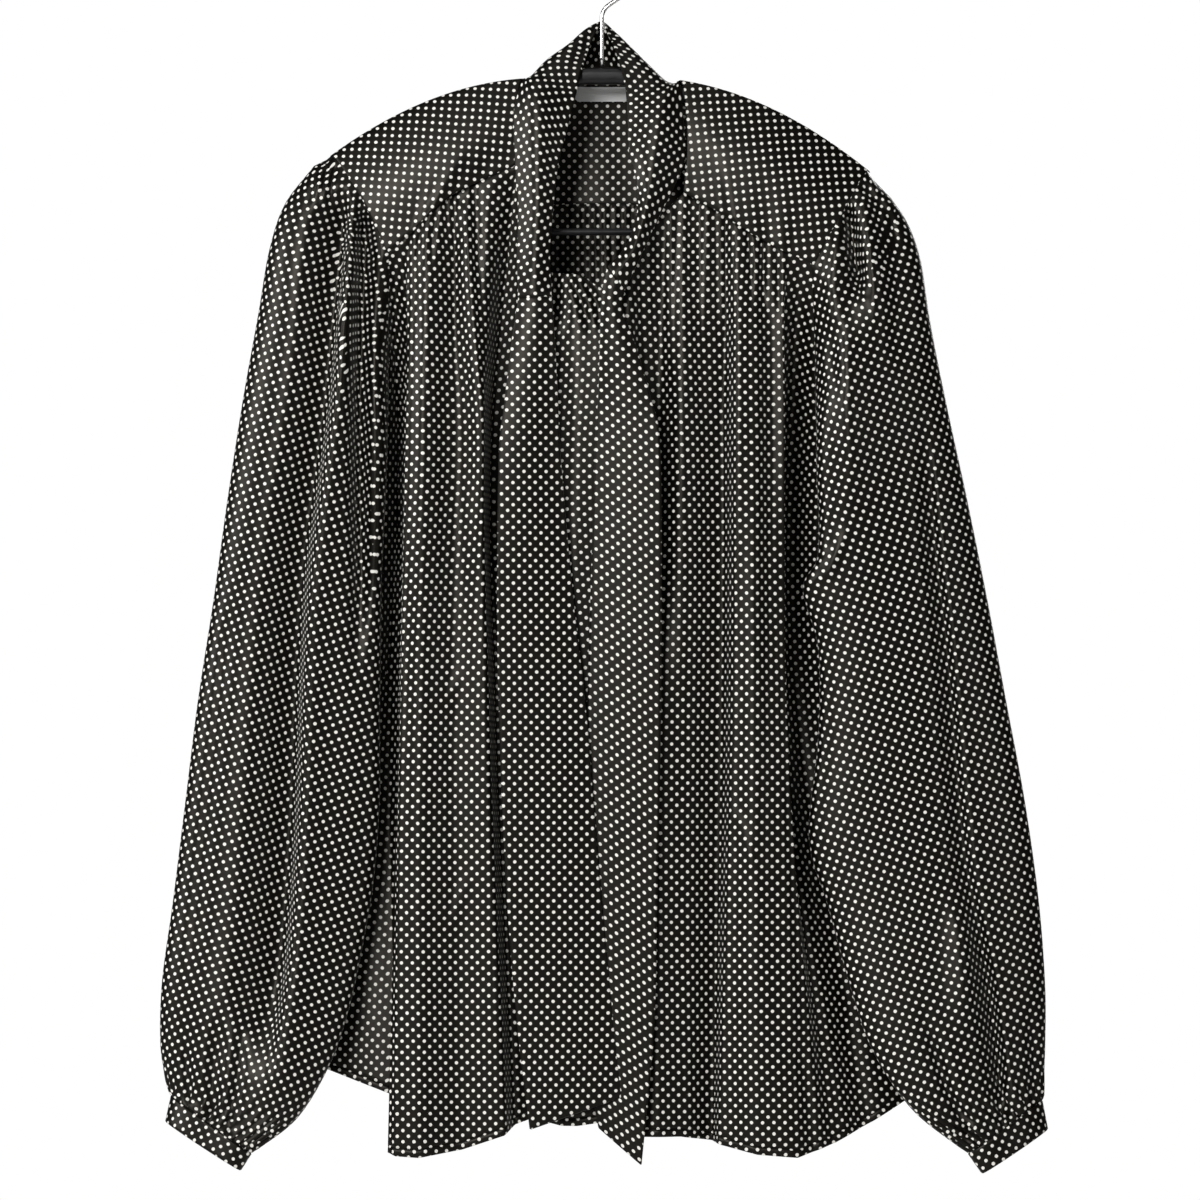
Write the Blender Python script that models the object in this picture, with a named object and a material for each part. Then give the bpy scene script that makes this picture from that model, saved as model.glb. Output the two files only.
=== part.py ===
"""A long-sleeve blouse hanging on its hanger, for Blender 4.5.

The frame is in metres with +Z up, +X to the viewer's right and -Y towards the viewer. Its origin is the inside
top of the hanger's hook, where it rests on a rail. Every cloth piece is a wall of one thickness on a surface,
and each surface is a net: lines that run down the cloth along its folds, met at a few levels. The tables give
those lines in millimetres as across (to the right), down (below the origin) and fore (towards the viewer).
"""

import bpy
import numpy as np

MM = 0.001
CLOTH = 1.2          # thickness of a cloth wall
SEAM_GAP = 0.8       # between two pieces that are sewn edge to edge
CHEST_DOWN = 301.0   # the level of the fold tables' chest columns
WAIST_DOWN = 496.0   # the level of their waist columns
CHEST_SHARE = 0.19   # the share of a front or back line that lies above the chest level
WAIST_SHARE = 0.53   # the same above the waist level
UNDERARM_DOWN = 275.0
UNDERARM_EASE = 8.0  # how far above that the back's side of the armhole ends

PANEL_LEVELS = 19    # rows of points down a front or the back
LINE_STEPS = 2       # steps between two lines, sections or rings of a table
ARMHOLE_LEVELS = 12
AROUND_COUNT = 24    # points around a sleeve or cuff
AROUND_ROUNDNESS = 0.8   # power of a ring's half depth, below 1 fuller than an ellipse
CUFF_ROWS = 4
BAND_POINTS = 7
TIE_POINTS = 6

PANEL_COLUMNS = ("top_x", "top_down", "top_fore", "chest_x", "chest_fore", "waist_x", "waist_fore",
                 "hem_x", "hem_down", "hem_fore")
# Each row is a ridge or a trough, from the closing edge to the side seam.
FRONT_LEFT = (
    (6, 234, 30, 6, 36, 3, 38, -2, 768, 38),
    (-14, 221, 29, -14, 36, -18, 38, -16, 770, 38),
    (-34, 219, 27, -32, 33, -35, 37, -32, 770, 38),
    (-53, 212, 24, -50, 35, -53, 39, -47, 768, 41),
    (-60, 176, 18, -60, 30, -64, 32, -57, 766, 34),
    (-62, 155, 15, -70, 25, -76, 27, -73, 770, 28),
    (-81, 162, 18, -83, 32, -90, 34, -85, 783, 37),
    (-91, 166, 17, -93, 28, -100, 34, -96, 788, 43),
    (-108, 173, 23, -110, 40, -117, 43, -115, 790, 47),
    (-117, 185, 20, -121, 35, -127, 38, -130, 789, 44),
    (-124, 194, 22, -128, 24, -135, 24, -138, 783, 36),
    (-132, 201, 21, -134, 14, -141, 12, -134, 752, 18),
    (-139, 206, 20, -141, 4, -149, 0, -196, 729, 0),
)
FRONT_RIGHT = (
    (7.8, 236, 30, 7.8, 36, 4.8, 38, -0.2, 768, 38),
    (17, 222, 28, 17, 36, 16, 38, 10, 776, 40),
    (30, 196, 23, 28, 35, 30, 37, 26, 777, 38),
    (42, 172, 17, 40, 34, 42, 36, 42, 777, 40),
    (53, 167, 16, 54, 31, 55, 33, 56, 777, 33),
    (65, 173, 16, 66, 26, 67, 28, 71, 778, 31),
    (74, 179, 20, 75, 31, 76, 32, 82, 781, 36),
    (83, 185, 18, 83, 26, 85, 31, 93, 784, 42),
    (91, 190, 23, 91, 38, 94, 41, 108, 790, 47),
    (101, 196, 21, 101, 36, 107, 42, 126, 790, 46),
    (117, 205, 22, 118, 21, 124, 22, 163, 777, 30),
    (137, 214, 20, 141, 4, 150, 0, 214, 745, 0),
)
YOKE_FIRST_LEFT = 5    # the front line at the yoke's corner on the neck, viewer's left
YOKE_FIRST_RIGHT = 4   # the same on the right
SIDE_SEAM_GAP = 1.6    # between front and back along the side seam
ARMHOLE_GAP = 1.8      # between the body's armhole and the sleeve, across
# Each row is a ridge or a trough of the back, from the left side seam to the right one.
BACK = (
    (-147, 190, -25, -138, 2.4, -147, -1.6, -196, 729, -1.6),
    (-125, 186, -31, -128, -18, -137, -18, -172, 735, -22),
    (-100, 182, -33, -104, -36, -108, -36, -128, 742, -34),
    (-82, 179, -33, -84, -30, -86, -29, -104, 747, -28),
    (-62, 176, -34, -62, -40, -62, -42, -72, 752, -44),
    (-40, 173, -34, -40, -32, -38, -31, -44, 756, -30),
    (-20, 172, -35, -18, -42, -16, -43, -16, 758, -42),
    (0, 172, -34, 4, -34, 6, -34, 10, 758, -32),
    (20, 172, -35, 24, -42, 28, -43, 36, 757, -44),
    (42, 174, -34, 46, -33, 50, -32, 62, 755, -32),
    (64, 177, -34, 68, -40, 74, -41, 92, 752, -44),
    (86, 181, -33, 88, -31, 94, -30, 122, 748, -30),
    (108, 186, -33, 112, -36, 120, -33, 162, 742, -32),
    (130, 191, -31, 130, -18, 138, -16, 190, 744, -18),
    (147, 196, -25, 137, 2.4, 148, -1.6, 214, 745, -1.6),
)

# The yoke's sections between the front seam and the back's corner: over the front, the shoulder's top, the back.
SECTION_COLUMNS = ("neck_x", "neck_down", "neck_fore", "arm_x", "arm_down", "arm_fore", "bulge_up", "bulge_fore")
YOKE_LEFT = (
    (-61, 126, 14, -153, 176, 18, 4, 3),
    (-53, 96.5, 6.5, -166, 137.5, 6.5, 7, 1),
    (-50, 93, 0, -167, 134, 0, 7.5, 0),
    (-50, 96, -6.5, -166, 137.5, -6.5, 7, -1),
    (-44, 99, -19, -156, 168, -20, 5, -3),
)
YOKE_RIGHT = (
    (55, 128, 14, 155, 183, 18, 4, 3),
    (53, 98, 6.5, 168, 150, 6.5, 7, 1),
    (49, 94, 0, 169, 146.5, 0, 7.5, 0),
    (49, 97, -6.5, 168, 150, -6.5, 7, -1),
    (43, 99, -19, 158, 176, -20, 5, -3),
)
BACK_NECK_HALF_WIDTH = 31.0
BACK_NECK_DOWN = 92.6
BACK_NECK_FORE = -32.0
BACK_NECK_SIDE_FORE = -27.0

# The collar band's sections: its folded edge, its crest and its sewn edge, from the centre back to the tie.
BAND_COLUMNS = ("fold_x", "fold_down", "fold_fore", "crest_x", "crest_down", "crest_fore",
                "sewn_x", "sewn_down", "sewn_fore")
BAND_CENTRE = ((0, 54, -20, 0, 72, -27, 0, 92, -32),)
BAND_LEFT = (
    (-5, 62, -12, -12, 59, -16, -14, 91.5, -31.5),
    (-10, 75, -3, -23, 67, -7, -29, 94, -28.5),
    (-14, 88, 7, -37, 76, 1, -42, 95, -20),
    (-16.5, 99, 12, -41, 87, 9, -48.5, 91, -4),
    (-18.5, 108, 15.5, -43, 96, 18, -50.5, 93.8, 8),
    (-23, 125, 19, -44, 116, 24, -57, 116, 14),
    (-29, 151, 24, -46, 148, 29, -60, 148, 20),
    (-32, 178, 28, -45, 178, 32, -61, 179, 25),
    (-34, 206, 33, -44, 207, 37, -58, 208, 32),
    (-33, 235.4, 40, -44, 235.4, 44, -55, 235.4, 41),
)
BAND_RIGHT = (
    (4, 62, -10, 11, 60, -15, 14, 91.5, -31.5),
    (9, 73, -1, 25, 71, -6, 29, 94, -28.5),
    (13, 87, 8, 36, 81, 3, 42, 95, -19),
    (15.5, 98, 13, 40, 90, 10, 48, 92, -3),
    (16.5, 108, 16, 41, 101, 19, 50.5, 95.5, 8),
    (17, 120, 19, 38, 120, 25, 52.5, 122, 15),
    (17, 140, 23, 35, 143, 29, 52.5, 146, 20),
    (21, 160, 27, 34, 162, 33, 50, 165, 23),
    (22, 180, 32, 30, 184, 38, 40, 187, 29),
    (16, 200, 37, 24, 207, 42, 30, 211, 36),
    (5, 216, 41, 13, 224, 45, 20, 231, 41),
)

TIE_COLUMNS = ("left_x", "left_down", "right_x", "right_down", "edge_fore", "middle_fore")
TIE_LEFT = (
    (-55, 236, -33, 236, 41, 44),
    (-58, 262, -31, 262, 43, 46),
    (-63, 301, -29, 301, 45, 47.5),
    (-66, 340, -27, 340, 46, 48.5),
    (-67, 431, -19, 431, 47.5, 48.5),
    (-66, 500, -11, 500, 48, 49),
    (-62, 600, -3, 600, 48, 49),
    (-55, 695, 6, 695, 48, 49),
    (-46, 771, 12, 751, 49, 50),
)
TIE_RIGHT = (
    (4.6, 216.4, 19.6, 231.4, 41, 45),
    (0, 236, 14, 243, 41.5, 45),
    (-1, 270, 21, 268, 42, 44),
    (-2, 301, 31, 301, 42, 43.5),
    (-4, 333, 37, 333, 42.5, 43.5),
    (-7, 431, 38, 431, 43, 44),
    (-10, 535, 37, 535, 43.5, 44.5),
    (-12, 620, 35, 620, 44, 44.5),
    (-12, 708, 33, 708, 44, 45),
    (-2, 771, 25, 794, 45, 46),
)

# A sleeve's rings, from below the armhole to the cuff's seam. Outer is the silhouette, inner is towards the body.
RING_COLUMNS = ("outer_x", "outer_down", "outer_fore", "inner_x", "inner_down", "inner_fore", "half_depth")
SLEEVE_LEFT = (
    (-187, 149, 0, -146, 296, 13, 25),
    (-206, 174, 0, -138, 322, 26, 24),
    (-216, 204, 2, -136, 348, 31, 22),
    (-223, 245, 3, -135, 380, 33, 20),
    (-233, 301, 4, -135, 424, 34, 19),
    (-243, 366, 5, -136, 470, 35, 18),
    (-252, 431, 6, -138, 515, 36, 18),
    (-262, 496, 7, -142, 560, 37, 18),
    (-270, 561, 9, -145, 613, 38, 18),
    (-278, 626, 11, -150, 660, 40, 18),
    (-285, 678, 13, -160, 700, 42, 18),
    (-286, 717, 15, -174, 733, 43, 18),
    (-283, 738, 17, -196, 765, 42, 17),
    (-279, 751, 20, -226, 787, 40, 12),
)
SLEEVE_RIGHT = (
    (188, 170, 0, 145, 300, 15, 25),
    (199, 187, 0, 138, 322, 26, 24),
    (207, 211, 2, 136, 348, 31, 22),
    (213, 250, 3, 135, 380, 33, 20),
    (223, 301, 4, 135, 412, 35, 19),
    (237, 366, 5, 132, 436, 37, 18),
    (250, 431, 6, 136, 475, 37, 18),
    (262, 496, 7, 136, 520, 37, 18),
    (274, 561, 9, 134, 572, 38, 18),
    (283, 626, 11, 138, 625, 40, 18),
    (287, 680, 13, 156, 676, 42, 18),
    (287, 717, 15, 172, 712, 43, 18),
    (286, 740, 17, 198, 757, 42, 17),
    (285, 754, 20, 236, 787, 40, 12),
)
CUFF_LEFT = ((-278.6, 752, 20, -226.6, 788, 40, 13), (-282, 768, 22, -233, 798, 41, 12))
CUFF_RIGHT = ((284.6, 755, 20, 236.6, 788, 40, 13), (288, 773, 22, 245, 800, 41, 12))
# Long folds of a sleeve. Place is the share across from the outer side; turned folds are on the far side.
SLEEVE_FOLD_COLUMNS = ("side", "place_top", "place_elbow", "place_cuff", "width", "height")
SLEEVE_FOLDS = (
    (1, 0.34, 0.22, 0.34, 0.09, -6),
    (1, 0.60, 0.54, 0.58, 0.13, 5),
    (1, 0.80, 0.84, 0.80, 0.07, -5),
    (-1, 0.30, 0.26, 0.40, 0.10, -5),
    (-1, 0.55, 0.60, 0.62, 0.12, 5),
    (-1, 0.82, 0.80, 0.78, 0.08, -4),
)
FOLD_LENGTHS = (0, 0.12, 0.3, 0.85, 1)       # shares of the sleeve's length
FOLD_STRENGTHS = (0, 0.5, 1, 1, 0.25)        # shares of a fold's height there
CUFF_GATHERS = 13
GATHER_HEIGHT = 1.6
GATHER_LENGTHS = (0, 0.86, 0.97, 1)
GATHER_STRENGTHS = (0, 0, 1, 0.6)

# The shoulder's top edge and the sleeve head's, which the hanger carries.
SHOULDER_LEFT = ((-50, 93), (-80, 98.3), (-110, 107), (-140, 119.6), (-167, 134), (-184, 147), (-197, 161),
                 (-206, 176), (-212, 190))
SHOULDER_RIGHT = ((49, 94), (80, 102.3), (110, 113.8), (140, 128.5), (169, 147), (181, 162.5), (190.5, 176),
                  (198.5, 190.5), (203, 203))
LABEL_SIZE = (38.0, 9.5)     # across and down
LABEL_POINTS = (13, 5)
LABEL_THICKNESS = 0.8
LABEL_TOP_DOWN = 95.5
LABEL_CORNER = 3.0
LABEL_OFFSET = 1.5           # from the yoke's middle to the label's
LABEL_CURVE = 1.9            # how far the label's ends come forward of its middle
LABEL_TILT = 0.3             # how far its lower edge stands back

BEAM_DOWN = 90.6             # middle of the hanger's body under its hook
BEAM_HALF_WIDTH = 16.0
BEAM_DROP = 0.8              # from its middle to its ends
ARM_HALF_HEIGHT = 5.5
TIP_HALF_HEIGHT = 4.0
ARM_HALF_DEPTH = 4.2
ARM_ROUNDNESS = 0.7          # power of the arms' oval section, below 1 squarer than an ellipse
ARM_CLEARANCE = 1.5          # from the arms to the middle of the cloth over them
BAR_DOWN = 191.7
BAR_RADIUS = 2.3
BAR_ENDS = (-201.2, 186.6)
BAR_POINTS = 8
ROD_SIDES = 10
WIRE_RADIUS = 1.4
STEM_BOTTOM_DOWN = 84.4
STEM_MIDDLE_DOWN = 60.6
STEM_TOP_DOWN = 52.6
NECK_BEND_RADIUS = 10.0
NECK_BEND_TURN = 55.0        # degrees
NECK_BEND_POINTS = 7
HOOK_RADIUS = 22.0
HOOK_TIP_TURN = 200.0        # degrees from the hook's rightmost point, over its top, to its tip
HOOK_POINTS = 30

PALETTE = {
    "crepe": ((0.020, 0.018, 0.015), 0.85, 0.0),
    "plain_label": ((0.90, 0.90, 0.88), 0.7, 0.0),
    "black_plastic": ((0.02, 0.02, 0.021), 0.35, 0.0),
    "chrome": ((0.75, 0.74, 0.72), 0.15, 1.0),
}


def columns(names, rows):
    """A table's columns by name."""
    return dict(zip(names, np.array(rows, float).T))


def places_of(c, name):
    """The points that three of a table's columns give: across, down and fore."""
    return np.stack([c[name + "_x"], c[name + "_down"], c[name + "_fore"]], 1)


def through(stations, values, places):
    """A smooth curve through values at stations, read at places: cubic, with slopes from the neighbours."""
    stations, values = np.asarray(stations, float), np.asarray(values, float)
    slopes = np.gradient(values, stations, axis=0)
    at = np.clip(np.searchsorted(stations, places, side="right") - 1, 0, len(stations) - 2)
    step = stations[at + 1] - stations[at]
    t = ((places - stations[at]) / step).reshape((-1,) + (1,) * (values.ndim - 1))
    step = step.reshape(t.shape)
    start, end = values[at], values[at + 1]
    first, last = slopes[at] * step, slopes[at + 1] * step
    return ((2 * t**3 - 3 * t**2 + 1) * start + (t**3 - 2 * t**2 + t) * first
            + (3 * t**2 - 2 * t**3) * end + (t**3 - t**2) * last)


def across_lines(lines, steps):
    """Points between neighbouring lines: straight in across and down, half a cosine wave in fore."""
    share = np.arange(steps) / steps
    wave = (1 - np.cos(np.pi * share)) / 2
    mix = np.stack([share, share, wave], 1)
    between = lines[:, :-1, None] + (lines[:, 1:] - lines[:, :-1])[:, :, None] * mix
    inner = between.reshape(lines.shape[0], -1, 3)
    return np.concatenate([inner, lines[:, -1:]], 1)


def panel_lines(rows, levels):
    """A front's or back's lines at each level, the share of their length from the top."""
    c = columns(PANEL_COLUMNS, rows)
    chest = np.full_like(c["top_x"], CHEST_DOWN)
    waist = np.full_like(c["top_x"], WAIST_DOWN)
    across = np.stack([c["top_x"], c["chest_x"], c["waist_x"], c["hem_x"]])
    down = np.stack([c["top_down"], chest, waist, c["hem_down"]])
    fore = np.stack([c["top_fore"], c["chest_fore"], c["waist_fore"], c["hem_fore"]])
    return through((0, CHEST_SHARE, WAIST_SHARE, 1), np.stack([across, down, fore], 2), levels)


def back_lines(levels):
    """The back's lines. Under the arms its two side lines follow the fronts' side lines, a gap behind them."""
    lines = panel_lines(BACK, levels)
    for place, rows in ((0, FRONT_LEFT), (-1, FRONT_RIGHT)):
        side = panel_lines(rows, np.linspace(0, 1, 200))[:, -1]
        own = lines[:, place]
        top = np.array(BACK[place][:3], float)
        share = np.clip((own[:, 1] - top[1]) / (UNDERARM_DOWN - top[1]), 0, 1)
        share = (1 - np.cos(np.pi * share)) / 2
        seam_x = np.interp(own[:, 1], side[:, 1], side[:, 0])
        seam_fore = np.interp(own[:, 1], side[:, 1], side[:, 2]) - SIDE_SEAM_GAP
        own[:, 0] = top[0] + (seam_x - top[0]) * share
        own[:, 2] = top[2] + (seam_fore - top[2]) * share
    return lines


def yoke_sections(steps):
    """The yoke's rows from the neck to its outer edge: left front seam, over the shoulder, round the back, right."""
    lift = np.array([0, -SEAM_GAP, 0])
    left = panel_lines(FRONT_LEFT, np.zeros(1))[0][YOKE_FIRST_LEFT:]
    right = panel_lines(FRONT_RIGHT, np.zeros(1))[0][YOKE_FIRST_RIGHT:]
    back = back_lines(np.zeros(1))[0]
    count = len(left)
    share = np.linspace(0, 1, count)

    def row(neck, outer, up, fore):
        swell = 4 * share * (1 - share)
        points = neck + (outer - neck) * share[:, None]
        return points + swell[:, None] * np.array([0, -up, fore])

    def shoulder(rows):
        c = columns(SECTION_COLUMNS, rows)
        ends = zip(places_of(c, "neck"), places_of(c, "arm"), c["bulge_up"], c["bulge_fore"])
        return [row(n, o, u, f) for n, o, u, f in ends]

    turn = np.linspace(-1, 1, len(back))
    neck_fore = BACK_NECK_FORE + (BACK_NECK_SIDE_FORE - BACK_NECK_FORE) * turn**2
    neck = np.stack([BACK_NECK_HALF_WIDTH * turn, BACK_NECK_DOWN + 3 * turn**2, neck_fore], 1)
    behind = [row(n, o + lift, 0, -2) for n, o in zip(neck, back)]
    over_left = smooth_steps(np.array([left + lift] + shoulder(YOKE_LEFT) + behind[:1]), steps)
    over_right = smooth_steps(np.array(behind[-1:] + shoulder(YOKE_RIGHT)[::-1] + [right + lift]), steps)
    return np.concatenate([over_left, behind[1:-1], over_right])


def smooth_steps(rows, steps):
    """More rows between the given ones, on smooth curves through them."""
    places = np.linspace(0, len(rows) - 1, (len(rows) - 1) * steps + 1)
    return through(np.arange(len(rows)), rows, places)


def armhole(rows, back_line, shoulder_rows, front_levels):
    """The armhole's loop from the shoulder's top down the front, under the arm and up the back."""
    tops = places_of(columns(SECTION_COLUMNS, shoulder_rows), "arm")
    front = panel_lines(rows, front_levels)[:, -1]
    behind = back_lines(front_levels)[:, back_line]
    front = front[front[:, 1] < UNDERARM_DOWN]
    behind = behind[behind[:, 1] < UNDERARM_DOWN - UNDERARM_EASE]
    under = (front[-1] + behind[-1]) / 2
    under[1] = UNDERARM_DOWN
    return np.concatenate([tops[2::-1], front, [under], behind[::-1], tops[:2:-1], tops[2:3]])


def even_loop(loop, count):
    """A closed loop from its top to its bottom and back, read closer together near both, as a ring is."""
    lengths = np.concatenate([[0], np.cumsum(np.linalg.norm(np.diff(loop, axis=0), axis=1))])
    bottom = lengths[np.argmax(loop[:, 1])]
    share = (1 - np.cos(np.linspace(0, np.pi, count // 2 + 1)[:-1])) / 2
    first = bottom * share
    second = bottom + (lengths[-1] - bottom) * share
    places = np.concatenate([first, second])
    return np.stack([np.interp(places, lengths, loop[:, i]) for i in range(3)], 1)


def rings_of(rows):
    """Flattened rings: a chord from the outer to the inner point, and a half depth fore and aft."""
    around = np.arange(AROUND_COUNT) * 2 * np.pi / AROUND_COUNT
    c = columns(RING_COLUMNS, rows)
    outer, inner = places_of(c, "outer")[:, None], places_of(c, "inner")[:, None]
    share = ((1 - np.cos(around)) / 2)[:, None]
    swell = np.sign(np.sin(around))[:, None] * np.abs(np.sin(around))[:, None] ** AROUND_ROUNDNESS
    return outer + (inner - outer) * share + c["half_depth"][:, None, None] * swell * np.array([0, 0, 1])


def sleeve_rings(table, loop, across):
    """A sleeve from its armhole's loop through its rings, with its long folds and the gathers at its cuff."""
    around = np.arange(AROUND_COUNT) * 2 * np.pi / AROUND_COUNT
    rings = rings_of(smooth_steps(np.array(table, float), LINE_STEPS))
    first = even_loop(loop, AROUND_COUNT) + np.array([across * ARMHOLE_GAP, 0, 0])
    step = np.arange(1, LINE_STEPS) / LINE_STEPS
    blend = first + (rings[0] - first) * step[:, None, None]
    rings = np.concatenate([[first], blend, rings])
    length = np.linspace(0, 1, len(rings))
    c = columns(SLEEVE_FOLD_COLUMNS, SLEEVE_FOLDS)
    share = (1 - np.cos(around)) / 2
    front = np.sin(around) >= 0
    strength = np.interp(length, FOLD_LENGTHS, FOLD_STRENGTHS)
    for side, top, elbow, cuff, width, height in zip(*(c[n] for n in SLEEVE_FOLD_COLUMNS)):
        place = np.interp(length, (0, 0.5, 1), (top, elbow, cuff))
        bump = np.exp(-((share - place[:, None]) / width) ** 2)
        here = front if side > 0 else ~front
        rings[..., 2] += side * height * strength[:, None] * bump * here * np.abs(np.sin(around)) ** 0.5
    middle = rings.mean(1, keepdims=True)
    gathers = np.cos(CUFF_GATHERS * around) * GATHER_HEIGHT
    near_cuff = np.interp(length, GATHER_LENGTHS, GATHER_STRENGTHS)
    out = rings - middle
    out /= np.linalg.norm(out, axis=2, keepdims=True)
    return rings + out * (near_cuff[:, None] * gathers)[..., None]


def grid_normals(points, closed):
    """A surface's normals from the differences along its two directions."""
    if closed:
        along = np.roll(points, -1, 1) - np.roll(points, 1, 1)
    else:
        along = np.gradient(points, axis=1)
    normal = np.cross(along, np.gradient(points, axis=0))
    return normal / np.maximum(np.linalg.norm(normal, axis=2, keepdims=True), 1e-9)


def finish(name, vertices, faces, material, smooth):
    mesh = bpy.data.meshes.new(name)
    mesh.from_pydata((vertices * MM).tolist(), [], faces)
    mesh.materials.append(material)
    if smooth:
        mesh.shade_smooth()
    piece = bpy.data.objects.new(name, mesh)
    bpy.context.collection.objects.link(piece)
    piece.parent = bpy.data.objects["blouse_on_hanger"]
    return piece


def wall(name, net, material, closed=False, thickness=CLOTH):
    """A closed cloth wall on a surface, half its thickness to each side, from a net of across, down and fore."""
    points = np.stack([net[..., 0], -net[..., 2], -net[..., 1]], 2)
    normal = grid_normals(points, closed)
    rows, count = points.shape[:2]
    near = (points + normal * thickness / 2).reshape(-1, 3)
    far = (points - normal * thickness / 2).reshape(-1, 3)
    half = rows * count
    faces = []
    for r in range(rows - 1):
        for k in range(count if closed else count - 1):
            a, b = r * count + k, r * count + (k + 1) % count
            c, d = a + count, b + count
            faces.append((a, b, d, c))
            faces.append((half + a, half + c, half + d, half + b))
    for r, flip in ((0, False), (rows - 1, True)):
        for k in range(count if closed else count - 1):
            a, b = r * count + k, r * count + (k + 1) % count
            faces.append((half + a, half + b, b, a)[::-1 if flip else 1])
    if not closed:
        for k, flip in ((0, True), (count - 1, False)):
            for r in range(rows - 1):
                a, b = r * count + k, (r + 1) * count + k
                faces.append((half + a, half + b, b, a)[::-1 if flip else 1])
    return finish(name, np.concatenate([near, far]), faces, material, True)


def tube(name, path, section, material, sizes=None):
    """A section carried along a path that lies in the hanger's plane. Sizes scale the section at each point."""
    ahead = np.gradient(path, axis=0)
    ahead /= np.linalg.norm(ahead, axis=1, keepdims=True)
    side = np.stack([-ahead[:, 1], ahead[:, 0]], 1)
    sizes = np.ones((len(path), 2)) if sizes is None else sizes
    count = len(section)
    x = path[:, None, 0] + side[:, None, 0] * section[:, 0] * sizes[:, :1]
    z = path[:, None, 1] + side[:, None, 1] * section[:, 0] * sizes[:, :1]
    y = section[:, 1] * sizes[:, 1:]
    vertices = np.stack([x, y, z], 2).reshape(-1, 3)
    faces = []
    for r in range(len(path) - 1):
        for k in range(count):
            a, b = r * count + k, r * count + (k + 1) % count
            faces.append((a, a + count, b + count, b))
    faces.append(tuple(range(count)))
    faces.append(tuple(range((len(path) - 1) * count, len(path) * count))[::-1])
    return finish(name, vertices, faces, material, True)


def oval(half_height, half_depth, count, power=1.0):
    turn = (np.arange(count) + 0.5) * 2 * np.pi / count
    up = np.sign(np.cos(turn)) * np.abs(np.cos(turn)) ** power * half_height
    out = np.sign(np.sin(turn)) * np.abs(np.sin(turn)) ** power * half_depth
    return np.stack([up, out], 1)


def arm_path():
    """The middle line of the hanger's arms: under the shoulders' top edges, and level under the hook."""
    sides = []
    for table in (SHOULDER_LEFT, SHOULDER_RIGHT):
        edge = np.array(table, float)
        edge[:, 1] *= -1
        ahead = np.gradient(edge, axis=0)
        ahead /= np.linalg.norm(ahead, axis=1, keepdims=True)
        into = np.stack([ahead[:, 1], -ahead[:, 0]], 1)
        into *= np.where(into[:, 1:] > 0, -1, 1)
        half = np.linspace(ARM_HALF_HEIGHT, TIP_HALF_HEIGHT, len(edge))[:, None]
        sides.append(edge + into * (half + ARM_CLEARANCE))
    ends_down = BEAM_DOWN + BEAM_DROP
    middle = np.array([(-BEAM_HALF_WIDTH, -ends_down), (0, -BEAM_DOWN), (BEAM_HALF_WIDTH, -ends_down)])
    path = np.concatenate([sides[0][::-1], middle, sides[1]])
    return smooth_steps(path, LINE_STEPS)


def hook_path():
    """The wire's middle line: up the stem, a bend to the right, a short slant, and the round hook to its tip."""
    turn = np.radians(NECK_BEND_TURN)
    bend = np.linspace(0, turn, NECK_BEND_POINTS)
    stem = np.array([(0, -STEM_BOTTOM_DOWN), (0, -STEM_MIDDLE_DOWN)])
    x = NECK_BEND_RADIUS * (1 - np.cos(bend))
    z = NECK_BEND_RADIUS * np.sin(bend) - STEM_TOP_DOWN
    lower = np.stack([x, z], 1)
    centre = WIRE_RADIUS - HOOK_RADIUS
    sweep = np.linspace(-turn, np.radians(HOOK_TIP_TURN), HOOK_POINTS)
    upper = np.stack([HOOK_RADIUS * np.cos(sweep), centre + HOOK_RADIUS * np.sin(sweep)], 1)
    return np.concatenate([stem, lower, upper])


def label_net():
    """A small plate that follows the yoke's inside under the band, its lower corners rounded."""
    width, height = LABEL_SIZE
    points_across, points_down = LABEL_POINTS
    turn = np.linspace(-1, 1, points_across)
    down = np.linspace(0, 1, points_down)[:, None]
    across = turn * width / 2
    corner = np.maximum(np.abs(across) - (width / 2 - LABEL_CORNER), 0)
    length = height - LABEL_CORNER + np.sqrt(LABEL_CORNER**2 - corner**2)
    net = np.zeros((points_down, points_across, 3))
    net[..., 0] = across
    net[..., 1] = LABEL_TOP_DOWN + down * length
    net[..., 2] = BACK_NECK_FORE + LABEL_OFFSET + LABEL_CURVE * turn**2 - LABEL_TILT * down
    return net


def material(name):
    colour, roughness, metallic = PALETTE[name]
    made = bpy.data.materials.new(name)
    made.use_nodes = True
    shader = made.node_tree.nodes["Principled BSDF"]
    shader.inputs["Base Color"].default_value = (*colour, 1)
    shader.inputs["Roughness"].default_value = roughness
    shader.inputs["Metallic"].default_value = metallic
    made.diffuse_color = (*colour, 1)
    return made


def band_sections():
    """The band's sections in order from its left end, round the neck, to its right end."""
    rows = np.array(BAND_LEFT[::-1] + BAND_CENTRE + BAND_RIGHT, float)
    c = columns(BAND_COLUMNS, smooth_steps(rows, LINE_STEPS))
    edges = np.stack([places_of(c, name) for name in ("fold", "crest", "sewn")])
    across = through((0, 1, 2), edges, np.linspace(0, 2, BAND_POINTS))
    return across.transpose(1, 0, 2)


def tie_net(rows):
    """A tie's rows from its top to its end, its middle standing forward of its edges."""
    c = columns(TIE_COLUMNS, smooth_steps(np.array(rows, float), LINE_STEPS))
    share = np.linspace(0, 1, TIE_POINTS)
    x = c["left_x"][:, None] + (c["right_x"] - c["left_x"])[:, None] * share
    down = c["left_down"][:, None] + (c["right_down"] - c["left_down"])[:, None] * share
    rise = (c["middle_fore"] - c["edge_fore"])[:, None] * 4 * share * (1 - share)
    return np.stack([x, down, c["edge_fore"][:, None] + rise], 2)


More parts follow.
